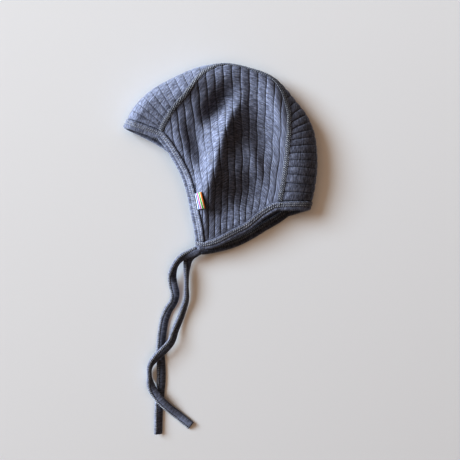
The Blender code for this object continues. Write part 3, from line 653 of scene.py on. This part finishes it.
# Heathered wool: short streaks of dark, blue-grey and pale fibres that run with the knit's courses. Streaks
# and flecks are in metres. Ribbed wool has painted shade in its rib furrows and along the lines across the
# ribs:
# furrows and lines are the painted shade's widths as shares of their pitch, and their shades are how dark it
# is.
wool = {
    "dark": (0.095, 0.100, 0.128), "middle": (0.165, 0.178, 0.232), "light": (0.270, 0.290, 0.370),
    "fleck": (0.340, 0.320, 0.270, 1), "streak": (0.0052, 0.00135), "speck": 0.0012, "clouds": 110.0,
    "fleckSize": (0.0026, 0.0011), "fleckRange": (0.68, 0.80), "fleckShare": 0.45,
    "shares": (0.64, 0.20, 0.16), "range": (0.35, 0.65),
    "furrow": 0.075, "furrowPaintedShade": 0.55, "line": 0.045, "linePaintedShade": 0.42,
    "pile": 0.00025, "pileStrength": 0.7,
}


def woolFinish(name, ribbed, shade=1.0):
    finish = Finish(name)
    across, along = finish.uv()
    streaks = finish.noise(across / wool["streak"][0], along / wool["streak"][1], 1.0, 2.0, 0.6)
    clouds = finish.noise(across, along, wool["clouds"], 2.0, 0.5, 3.0)
    specks = finish.noise(across, along, 1 / wool["speck"], 1.0, 0.5, 7.0)
    flecks = finish.noise(across / wool["fleckSize"][0], along / wool["fleckSize"][1], 1.0, 0.0, 0.5, 13.0)
    streakShare, speckShare, cloudShare = wool["shares"]
    tone = (streaks * streakShare + specks * speckShare + clouds * cloudShare).ramp(*wool["range"])
    dark, middle, light = [[channel * shade for channel in wool[tint]] + [1]
                           for tint in ("dark", "middle", "light")]
    colour = finish.mix(tone.ramp(0.0, 0.5), dark, middle)
    colour = finish.mix(tone.ramp(0.5, 1.0), colour, light)
    colour = finish.mix(flecks.ramp(*wool["fleckRange"]) * wool["fleckShare"], colour, wool["fleck"])
    height = streaks * 0.5 + specks * 0.5
    if ribbed:
        # Painted shade: the colour is darkened in each rib furrow and along each line across the ribs
        rib = (across / pitch).fold(0.5)
        line = (along / relief["crossPitch"] + 0.5).fold(0.5)
        paintedShade = 1 - (1 - rib.ramp(0.0, wool["furrow"])) * wool["furrowPaintedShade"]
        paintedShade = paintedShade * (1 - (1 - line.ramp(0.0, wool["line"])) * wool["linePaintedShade"])
        grey = finish.node("ShaderNodeCombineColor", values=[paintedShade, paintedShade, paintedShade]).outputs[0]
        colour = finish.mix(1.0, colour, grey, "MULTIPLY")
    finish.surface(Base_Color=colour, Roughness=0.95, Sheen_Weight=0.5, Sheen_Roughness=0.40,
                   Sheen_Tint=(0.80, 0.87, 1.0, 1), Specular_IOR_Level=0.15,
                   Normal=finish.bump(height, wool["pile"], wool["pileStrength"]))
    return finish


ribWool = woolFinish("rib_knit_wool", True)
plainWool = woolFinish("binding_knit_wool", False, 0.90)
seamWool = woolFinish("seam_wool", False, 0.50)
tieWool = woolFinish("tie_knit_wool", False, 0.85)


def makePanel(name, grid, node):
    across = grid["ribs"] * pitch
    piece = latticePiece(name, grid["points"], across, grid["along"], grid["normals"], bonnet["wall"])
    settle(piece, ribWool, "rib_knit", node)
    return len(piece.data.polygons)


upperGrid = sidePanelGrid("upper", relief["columns"], relief["upperRows"])
lowerGrid = sidePanelGrid("lower", relief["lowerColumns"], relief["lowerRows"])
centreGrid = centrePanelGrid(relief["columns"], relief["stripRows"])
panelFaces = [makePanel("upper_side_knit", upperGrid, "side_panel_upper"),
              makePanel("lower_side_knit", lowerGrid, "side_panel_lower"),
              makePanel("centre_knit", centreGrid, "centre_panel")]
print("panels made, faces:", *panelFaces)


# Bindings: a rolled outer edge, a furrow, and a stitched band, on both faces of the cloth.
# Each profile point is a distance in from the hem and a height off the cloth's outer face, in mm: the top from
# the inner edge to the hem, and the side that is turned to the cloth, back to the inner edge.
binding = {
    "top": [(9.4, 0.7), (9.3, 1.15), (8.9, 1.5), (7.9, 1.62), (6.4, 1.66), (4.9, 1.58), (4.1, 1.30),
            (3.7, 1.08), (3.3, 1.32), (2.5, 1.62), (1.6, 1.55), (0.8, 1.15), (0.25, 0.45), (0.0, -0.4)],
    "inside": [(9.4, -2.7), (1.3, -2.7), (0.9, -1.0), (1.3, 0.7)],
    "step": 0.0011, "ringGap": 0.0015, "corner": 0.006, "cornerShare": 0.45,
}


def bindingProfile():
    top = np.array(binding["top"]) / 1000
    under = top[::-1].copy()
    under[:, 1] = -bonnet["wall"] - under[:, 1]
    inside = np.array(binding["inside"]) / 1000
    return np.vstack((top, under[1:], inside[1:]))


def besideChin(points, normals, chin, step):
    order = np.arange(chin, len(points)) if step > 0 else np.arange(chin, -1, -1)
    run = runLengths(points[order])
    index = np.interp([band - edgeInset], run, np.arange(len(order)))
    return pick(points[order], index)[0], unit(pick(normals[order], index)[0])


def sideRings(grid, opening):
    outer, normal, chin = grid["points"], grid["normals"], grid["chin"]
    facePlace = besideChin(outer[:, 0], normal[:, 0], chin, -1)
    neckPlace = besideChin(outer[:, 0], normal[:, 0], chin, 1)
    corner = (outer[chin, 1], normal[chin, 1])
    if opening == "face":
        rings = [(facePlace, corner)]
        columns = range(chin - 1, -1, -1)
    else:
        out = unit(facePlace[0] - corner[0]) * edgeInset
        rings = [((outer[chin, 0] + out, normal[chin, 0]), (facePlace[0] + out, facePlace[1]))]
        rings.append(((outer[chin, 0], normal[chin, 0]), corner))
        rings.append((neckPlace, corner))
        columns = range(chin + 1, len(outer))
    for k in columns:
        offChin = np.linalg.norm(outer[k, 0] - outer[chin, 0]) > band
        offRing = np.linalg.norm(outer[k, 0] - rings[-1][0][0]) > binding["ringGap"]
        if (offChin and offRing) or k == columns[-1]:
            rings.append(((outer[k, 0], normal[k, 0]), (outer[k, 1], normal[k, 1])))
    return rings


def bindingRings(opening):
    bases = sideRings(upperGrid, opening)
    edge, second = (0, 1) if opening == "face" else (-1, -2)
    points, normals = centreGrid["points"], centreGrid["normals"]
    for k in range(1, points.shape[1] - 1, 2):
        bases.append(((points[edge, k], normals[edge, k]), (points[second, k], normals[second, k])))
    bases += sideRings(lowerGrid, opening)[::-1]
    foot = np.array([ring[0][0] for ring in bases])
    run = runLengths(foot)
    index = np.interp(np.arange(0, run[-1], binding["step"]), run, np.arange(len(foot)))
    index = np.append(index, len(foot) - 1.0)
    table = np.array([[ring[0][0], ring[0][1], ring[1][0], ring[1][1]] for ring in bases])
    return pick(table, index)


def bindingPoint(base, inset, height):      # a place on a binding, from its ring's foot and head
    share = ((inset - edgeInset) / (band - edgeInset))[..., None]
    foot, footOut, head, headOut = [base[:, i][:, None] for i in range(4)]
    out = unit(footOut + share * (headOut - footOut))
    return foot + share * (head - foot) + height[..., None] * out, out


def rawPiece(name, vertices, faces):        # a new piece, selected alone
    mesh = bpy.data.meshes.new(name)
    mesh.from_pydata(vertices.reshape(-1, 3).tolist(), [], faces)
    piece = bpy.data.objects.new(name, mesh)
    bpy.context.scene.collection.objects.link(piece)
    bpy.ops.object.select_all(action="DESELECT")
    piece.select_set(True)
    bpy.context.view_layer.objects.active = piece
    return piece


def sweptPiece(name, rings, across, along):     # a closed tube through rings of equal count, with end caps
    count = rings.shape[1]
    faces, uvs = [], []
    for i in range(len(rings) - 1):
        for j in range(count):
            k = (j + 1) % count
            faces.append((i * count + j, i * count + k, (i + 1) * count + k, (i + 1) * count + j))
            uvs += [(across[j], along[i]), (across[j + 1], along[i]), (across[j + 1], along[i + 1]),
                    (across[j], along[i + 1])]
    for ring, order in ((0, 1), (len(rings) - 1, -1)):
        loop = [ring * count + j for j in range(count)]
        faces.append(tuple(loop[::order]))
        uvs += [(across[j], along[ring]) for j in range(count)][::order]
    piece = rawPiece(name, rings, faces)
    layer = piece.data.uv_layers.new(name="cloth")
    layer.data.foreach_set("uv", np.array(uvs, float).reshape(-1))
    bpy.ops.object.mode_set(mode="EDIT")
    bpy.ops.mesh.select_all(action="SELECT")
    bpy.ops.mesh.normals_make_consistent(inside=False)
    bpy.ops.object.mode_set(mode="OBJECT")
    bpy.ops.object.shade_smooth()
    return piece


def roundCorners(base):     # the neck binding narrows towards the ties at both chin corners
    run = runLengths(base[:, 0])
    near = np.clip(1 - np.minimum(run, run[-1] - run) / binding["corner"], 0, 1)
    base[:, 0] += (base[:, 2] - base[:, 0]) * (binding["cornerShare"] * near**2)[:, None]


def makeBinding(name, opening, node):
    base = bindingRings(opening)
    if opening == "neck":
        roundCorners(base)
    profile = bindingProfile()
    insets, heights = [np.tile(profile[:, i], (len(base), 1)) for i in (0, 1)]
    points, out = bindingPoint(base, insets, heights)
    points[..., 2] = np.maximum(points[..., 2], onFloor)
    across = runLengths(np.vstack((profile, profile[:1])))
    along = runLengths(base[:, 0])
    piece = sweptPiece(name, points, across, along)
    settle(piece, plainWool, "binding_knit", node)
    return base


faceBase = makeBinding("face_edge_binding", "face", "face_binding")
neckBase = makeBinding("neck_edge_binding", "neck", "neck_binding")
print("bindings made")


# Thread: short stitches, modelled once and copied along rows. Bends and ends are shares of the length from the
# middle, the end size and the dip shares of the radius.
stitch = {
    "length": 0.0021, "radius": 0.00033, "sides": 5, "bend": 0.3, "end": 0.45, "endSize": 0.55, "dip": 0.9,
}


def stitchModel():      # one stitch along X: a thin rod whose ends dip
    bpy.ops.object.select_all(action="DESELECT")
    bpy.ops.mesh.primitive_cylinder_add(vertices=stitch["sides"], radius=1.0, depth=1.0,
                                        end_fill_type="TRIFAN", rotation=(0, math.pi / 2, 0))
    model = bpy.context.object
    bpy.ops.object.transform_apply(location=False, rotation=True, scale=False)
    bpy.ops.object.mode_set(mode="EDIT")
    for place in (-stitch["bend"], stitch["bend"]):
        bpy.ops.mesh.select_all(action="SELECT")
        bpy.ops.mesh.bisect(plane_co=(place, 0, 0), plane_no=(1, 0, 0))
    bpy.ops.object.mode_set(mode="OBJECT")
    vertices = np.array([v.co for v in model.data.vertices])
    faces = [list(face.vertices) for face in model.data.polygons]
    bpy.data.objects.remove(model, do_unlink=True)
    ends = np.abs(vertices[:, 0]) > stitch["end"]
    vertices[ends, 1:] *= stitch["endSize"]
    return vertices, faces, ends


stitchVertices, stitchFaces, stitchEnds = stitchModel()


def stitchPiece(name, centres, ahead, up, length, radius, finish):
    # Every stitch is a copy of the model, set along its own direction
    ahead = unit(ahead - up * (ahead * up).sum(axis=1, keepdims=True))
    side = np.cross(up, ahead)
    local = stitchVertices
    count = len(local)
    dip = np.where(stitchEnds, -stitch["dip"] * radius, 0.0)
    vertices = (centres[:, None] + ahead[:, None] * (local[:, 0] * length)[None, :, None]
                + side[:, None] * (local[:, 1] * radius)[None, :, None]
                + up[:, None] * (local[:, 2] * radius + dip)[None, :, None])
    faces = [[i * count + v for v in face] for i in range(len(centres)) for face in stitchFaces]
    piece = rawPiece(name, vertices, faces)
    bpy.ops.object.shade_smooth()
    piece.data.materials.append(finish.material)
    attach(piece, "root")
    return piece


threadLook = {"dark": (0.22, 0.23, 0.26, 1), "light": (0.46, 0.465, 0.47, 1), "speckle": 900.0}


def threadFinish():
    finish = Finish("sewing_thread")
    place = finish.node("ShaderNodeTexCoord").outputs["Object"]
    values = {"Vector": place, "Scale": threadLook["speckle"], "Detail": 1.0}
    speckle = Wire(finish, finish.node("ShaderNodeTexNoise", values=values).outputs[0])
    colour = finish.mix(speckle.ramp(0.35, 0.65), threadLook["dark"], threadLook["light"])
    finish.surface(Base_Color=colour, Roughness=0.7, Sheen_Weight=0.2, Normal=finish.bump(speckle, 0.0001, 0.5))
    return finish


thread = threadFinish()


def rowOnLine(points, normals, step, slant):        # centres, directions and normals of a row of stitches
    run = runLengths(points)
    index = np.interp(np.arange(step * 0.5, run[-1] - step * 0.5, step), run, np.arange(len(points)))
    ahead = unit(np.gradient(points, axis=0))
    centre, direction, up = pick(points, index), pick(ahead, index), unit(pick(normals, index))
    side = np.cross(up, direction)
    return centre, direction * math.cos(slant) + side * math.sin(slant), up


def joinRows(rows):     # without the stitches that would be pressed into the floor
    parts = [np.vstack([row[i] for row in rows]) for i in range(3)]
    clear = parts[0][:, 2] > 2 * stitch["radius"]
    return [part[clear] for part in parts]


# Flatlock seams: a low band over the seam, with long slanted stitches across it and a row along each side.
# A row is its place across in metres, its slant in radians and its stitches' length.
flatlock = {
    "halfWidth": 0.0021, "rise": 0.00030, "lift": 0.0002, "wall": 0.0006, "tuck": 0.001,
    "lines": 9, "bandStep": 0.0012, "step": 0.0021,
    "rows": [(0.0, 1.0, 0.0034), (-0.0019, 0.1, 0.0014), (0.0019, 0.1, 0.0014)],
}


def seamBand(side):
    start, end = seamRange(side)
    s = np.arange(start + band - flatlock["tuck"], end - band + flatlock["tuck"], flatlock["bandStep"])
    inset = sectionValue(side + "Inset", s)
    half = flatlock["halfWidth"]
    rows = []
    for share in np.linspace(-1, 1, flatlock["lines"]):
        points, normals = clothPoints(side, s, np.maximum(inset + share * half, 0.0))
        points += normals * (flatlock["rise"] * (1 - share**4) + flatlock["lift"])
        points[:, 2] = np.maximum(points[:, 2], onFloor)
        rows.append((points, normals))
    return np.array([row[0] for row in rows]), np.array([row[1] for row in rows])


seamRows = {length: [] for _, _, length in flatlock["rows"]}
for side in sides:
    points, normals = seamBand(side)
    lines, columns = points.shape[:2]
    middle = lines // 2
    across = np.repeat(np.linspace(0, 2 * flatlock["halfWidth"], lines)[:, None], columns, axis=1)
    along = np.repeat(runLengths(points[middle])[None], lines, axis=0)
    piece = latticePiece(side + "_seam_band", points, across, along, normals, flatlock["wall"])
    settle(piece, seamWool, "rib_knit")
    for offset, slant, length in flatlock["rows"]:
        row = middle + offset / flatlock["halfWidth"] * middle
        line = pick(points, np.array([row]))[0]
        up = unit(pick(normals, np.array([row]))[0])
        seamRows[length].append(rowOnLine(line, up, flatlock["step"], slant))
for number, (length, rows) in enumerate(seamRows.items()):
    stitchPiece("seam_stitches_%d" % number, *joinRows(rows), length, stitch["radius"], thread)
print("seams stitched")


# Rows of stitches on the bindings' bands, seen from outside and from inside
hemStitching = {
    "insets": (0.0054, 0.0076), "height": 0.00166, "step": 0.0021, "slant": 0.9,
    "floorClear": 0.0006, "shortest": 4,
}


def hemStitchRows(base, inset, face):       # face is 1 outside and -1 inside; the rows stop where the floor is
    height = hemStitching["height"] if face > 0 else -bonnet["wall"] - hemStitching["height"]
    shape = (len(base), 1)
    points, out = bindingPoint(base, np.full(shape, inset), np.full(shape, height))
    keep = points[:, 0, 2] > hemStitching["floorClear"]
    runs = np.split(np.arange(len(base)), np.where(np.diff(keep))[0] + 1)
    runs = [run for run in runs if len(run) > hemStitching["shortest"] and keep[run[1]]]
    step, slant = hemStitching["step"], hemStitching["slant"]
    return [rowOnLine(points[run, 0], out[run, 0] * face, step, slant) for run in runs]


hemStitches = []
for base in (faceBase, neckBase):
    for inset in hemStitching["insets"]:
        hemStitches += hemStitchRows(base, inset, 1) + hemStitchRows(base, inset, -1)
stitchPiece("binding_stitches", *joinRows(hemStitches), stitch["length"], stitch["radius"], thread)
print("bindings stitched")


# Ties: points of their routes in metres, as in the solids but for their starts at the chin. The third number
# is the lowest edge above the floor, and the fourth, in degrees, raises the right-hand edge when below zero.
tieRoutes = {
    "tie_upper": [
        (-0.0150, -0.0895, 0.0132, 0), (-0.0205, -0.0912, 0.0138, 0), (-0.0262, -0.0940, 0.0128, -6),
        (-0.0322, -0.0966, 0.0110, -20), (-0.0390, -0.1000, 0.0096, -40), (-0.0447, -0.1058, 0.0084, -52),
        (-0.0482, -0.1134, 0.0068, -40), (-0.0493, -0.1212, 0.0050, -14), (-0.0482, -0.1295, 0.0034, 6),
        (-0.0465, -0.1375, 0.0018, -4), (-0.0480, -0.1456, 0.0006, -22), (-0.0533, -0.1540, 0.0003, -14),
        (-0.0572, -0.1635, 0.0002, -8), (-0.0597, -0.1760, 0.0002, -8), (-0.0611, -0.1880, 0.0002, -14),
        (-0.0619, -0.1986, 0.0002, -16), (-0.0610, -0.2122, 0.0002, -18), (-0.0610, -0.2278, 0.0002, -14),
        (-0.0624, -0.2434, 0.0002, -12), (-0.0634, -0.2590, 0.0002, -26), (-0.0640, -0.2829, 0.0002, -35),
    ],
    "tie_lower": [
        (-0.0190, -0.0940, 0.0064, 0), (-0.0240, -0.0958, 0.0062, 0), (-0.0290, -0.0978, 0.0058, -6),
        (-0.0325, -0.1022, 0.0050, -18), (-0.0341, -0.1110, 0.0044, -50),
        (-0.0346, -0.1280, 0.0036, -75), (-0.0350, -0.1440, 0.0020, -60),
        (-0.0382, -0.1545, 0.0012, -50), (-0.0418, -0.1645, 0.0012, -45), (-0.0462, -0.1750, 0.0030, -40),
        (-0.0505, -0.1870, 0.0060, -30), (-0.0578, -0.1955, 0.0072, -20), (-0.0650, -0.2024, 0.0066, -30),
        (-0.0722, -0.2128, 0.0030, -64), (-0.0730, -0.2226, 0.0014, -74), (-0.0703, -0.2345, 0.0052, -24),
        (-0.0632, -0.2450, 0.0064, 5), (-0.0540, -0.2548, 0.0036, 12), (-0.0447, -0.2626, 0.0008, 14),
        (-0.0302, -0.2746, 0.0002, 14),
    ],
}
# Cross-section of a tie: place across as a share of half its width, height as a share of half its thickness.
# Its stitches start a few stations from the binding.
tieShape = {
    "width": 0.0090, "thickness": 0.0022, "step": 0.0011,
    "top": [(0.96, 0.6), (0.84, 0.85), (0.60, 0.78), (0.30, 0.85), (0.0, 0.92), (-0.20, 0.88), (-0.36, 0.72),
            (-0.44, 0.50), (-0.54, 1.00), (-0.70, 1.30), (-0.88, 1.20), (-0.98, 0.70), (-1.0, 0.0)],
    "stitchRows": (-0.84, -0.60), "stitchRise": 1.32, "stitchStep": 0.0020, "stitchSlant": 0.9,
    "stitchLength": 0.0017, "stitchRadius": 0.00034, "firstStation": 8,
    "taper": 0.012, "taperFrom": 0.60, "arch": 0.0013,
}


def makeTie(node, name):
    rows = np.array(tieRoutes[node])
    halfWidth, halfThick = tieShape["width"] / 2, tieShape["thickness"] / 2
    lean = np.radians(rows[:, 3])
    z = rows[:, 2] + halfWidth * abs(np.sin(lean)) + halfThick * np.cos(lean)
    chosen = np.column_stack((rows[:, :2], z))
    knots = runLengths(chosen)
    at = np.linspace(0, knots[-1], int(knots[-1] / tieShape["step"]) + 1)
    centre = smooth(at, knots, chosen)
    lean = smooth(at, knots, lean)
    ahead = unit(np.gradient(centre, axis=0))
    flat = unit(np.cross((0.0, 0.0, 1.0), ahead))
    up = np.cross(ahead, flat)
    across = np.cos(lean)[:, None] * flat + np.sin(lean)[:, None] * up
    through = np.cross(ahead, across)
    top = np.array(tieShape["top"])
    profile = np.vstack((top, -top))
    start = tieShape["taperFrom"]
    across *= (start + (1 - start) * ease(runLengths(centre) / tieShape["taper"]))[:, None]
    rings = (centre[:, None] + across[:, None] * (profile[:, 0] * halfWidth)[None, :, None]
             + through[:, None] * (profile[:, 1] * halfThick)[None, :, None])
    arch = tieShape["arch"] * (1 - profile[:, 0]**2)
    rings += through[:, None] * arch[None, :, None]
    rings[..., 2] = np.maximum(rings[..., 2], onFloor)
    flatProfile = profile * (halfWidth, halfThick)
    run = runLengths(centre)
    piece = sweptPiece(name, rings, runLengths(np.vstack((flatProfile, flatProfile[:1]))), run)
    settle(piece, tieWool, "tie_knit", node)
    rows = []
    first = tieShape["firstStation"]
    for face in (1, -1):
        for place in tieShape["stitchRows"]:
            lift = halfThick * tieShape["stitchRise"] * face + tieShape["arch"] * (1 - place * place)
            line = centre + across * halfWidth * place * face + through * lift
            rows.append(rowOnLine(line[first:], through[first:] * face, tieShape["stitchStep"],
                                  tieShape["stitchSlant"]))
    return rows


tieStitches = makeTie("tie_upper", "upper_tie") + makeTie("tie_lower", "lower_tie")
stitchPiece("tie_stitches", *joinRows(tieStitches), tieShape["stitchLength"], tieShape["stitchRadius"],
            thread)
print("ties made")


# The side tag: a folded woven tape with plain stripes along it, each from its share of the width
tag = {
    "length": 0.0160, "width": 0.0064, "thick": 0.0008, "rise": 0.0007, "place": 0.60,
    "tuck": 0.0004, "spare": 0.0010, "swell": 0.35, "slope": 0.5, "stations": 33, "lines": 15,
    "white": (0.46, 0.46, 0.45, 1), "blue": (0.02, 0.07, 0.28, 1), "magenta": (0.25, 0.015, 0.18, 1),
    "green": (0.06, 0.24, 0.02, 1), "orange": (0.42, 0.14, 0.015, 1),
    "stripes": [(0.00, "white"), (0.12, "blue"), (0.27, "white"), (0.36, "magenta"), (0.52, "white"),
                (0.60, "green"), (0.75, "white"), (0.82, "orange")],
    "weft": 9000.0, "warp": 7000.0,
}


def tagFinish():
    finish = Finish("tag_tape")
    across, along = finish.uv()
    ramp = finish.node("ShaderNodeValToRGB", values=[across / tag["width"]])
    ramp.color_ramp.interpolation = "CONSTANT"
    for i, (position, colour) in enumerate(tag["stripes"]):
        stop = ramp.color_ramp.elements[i] if i < 2 else ramp.color_ramp.elements.new(position)
        stop.position = position
        stop.color = tag[colour]
    weave = (across * tag["weft"]).sine() * 0.5 + (along * tag["warp"]).sine() * 0.5
    finish.surface(Base_Color=ramp.outputs[0], Roughness=0.45, Sheen_Weight=0.3,
                   Normal=finish.bump(weave, 0.00008, 0.6))
    return finish


def makeTag():
    line = hems["upper"][0]
    run = runLengths(line)
    stations = tag["place"] * run[-1] + np.linspace(-tag["length"] / 2, tag["length"] / 2, tag["stations"])
    index = np.interp(stations, run, np.arange(len(run)))
    border = pick(line, index)
    inward = unit(pick(hemInward(line), index))
    shares = np.linspace(0, 1, tag["lines"])
    points, normals = [], []
    for share in shares:
        inset = bonnet["bindingWidth"] - tag["tuck"] + share * (tag["width"] + tag["spare"])
        place, normal = clothAt("upper", border + inset * inward)
        swell = tag["swell"] * math.sin(math.pi * share) + tag["slope"] * share
        points.append(place + normal * (tag["rise"] + tag["thick"] * (1 + swell)))
        normals.append(normal)
    across = np.repeat(shares[:, None] * tag["width"], len(stations), axis=1)
    along = np.repeat((stations - stations[0])[None], len(shares), axis=0)
    piece = latticePiece("side_tag", np.array(points), across, along, np.array(normals), tag["thick"])
    settle(piece, tagFinish(), "tag_weave", "woven_tag")


makeTag()
print("tag made")


# Pale floor with painted shade: its colour darkens a little away from the window, as in the photograph
floorLook = {
    "size": 4.0, "depth": 0.00005, "bright": (0.744, 0.817, 0.880, 1), "dim": (0.514, 0.551, 0.585, 1),
    "slope": (-0.6, 0.8), "from": 0.62, "to": -0.62,
}


def makeFloor():
    bpy.ops.object.select_all(action="DESELECT")
    bpy.ops.mesh.primitive_plane_add(size=floorLook["size"], location=(0, 0, -floorLook["depth"]))
    floor = bpy.context.object
    floor.name = "floor"
    finish = Finish("pale_floor")
    place = finish.node("ShaderNodeTexCoord").outputs["Object"]
    parts = finish.node("ShaderNodeSeparateXYZ", values=[place])
    right, away = floorLook["slope"]
    # Painted shade: the floor's colour goes from bright near the window to dim away from it
    slope = Wire(finish, parts.outputs[1]) * away + Wire(finish, parts.outputs[0]) * right
    share = (slope - floorLook["to"]) / (floorLook["from"] - floorLook["to"])
    finish.surface(Base_Color=finish.mix(share, floorLook["dim"], floorLook["bright"]), Roughness=0.85)
    floor.data.materials.append(finish.material)
    return floor


# Soft studio light from the upper left: a low one rakes the cloth, a higher one and a warm fill are for the
# floor. Each has its elevation, turn, angle across, power and colour, with angles in degrees.
lights = {
    "cloth_light": (17.0, 162.0, 52.0, 12.4, (0.86, 0.93, 1.0)),
    "floor_light": (36.0, 155.0, 34.0, 4.05, (0.80, 0.91, 1.0)),
    "floor_fill": (90.0, 0.0, 70.0, 1.25, (1.0, 0.69, 0.48)),
}
ambient = {"colour": (0.30, 0.215, 0.160, 1), "strength": 0.75}
cameraGamma = 0.70


def makeLight(name, receivers):
    elevation, turn, angle, power, colour = lights[name]
    data = bpy.data.lights.new(name, "SUN")
    data.angle = math.radians(angle)
    data.energy = power
    data.color = colour
    light = bpy.data.objects.new(name, data)
    light.rotation_euler = (0, math.radians(90 - elevation), math.radians(turn))
    bpy.context.scene.collection.objects.link(light)
    lit = bpy.data.collections.new("lit_by_" + name)
    for receiver in receivers:
        lit.objects.link(receiver)
    light.light_linking.receiver_collection = lit


pieces = [thing for thing in bpy.context.scene.objects if thing.type == "MESH"]
floor = makeFloor()
makeLight("floor_light", [floor])
makeLight("floor_fill", [floor])
makeLight("cloth_light", pieces)
world = bpy.data.worlds.new("studio")
world.use_nodes = True
world.node_tree.nodes["Background"].inputs[0].default_value = ambient["colour"]
world.node_tree.nodes["Background"].inputs[1].default_value = ambient["strength"]
bpy.context.scene.world = world
bpy.context.scene.view_settings.view_transform = "Standard"
bpy.context.scene.view_settings.gamma = cameraGamma
print("stage lit")
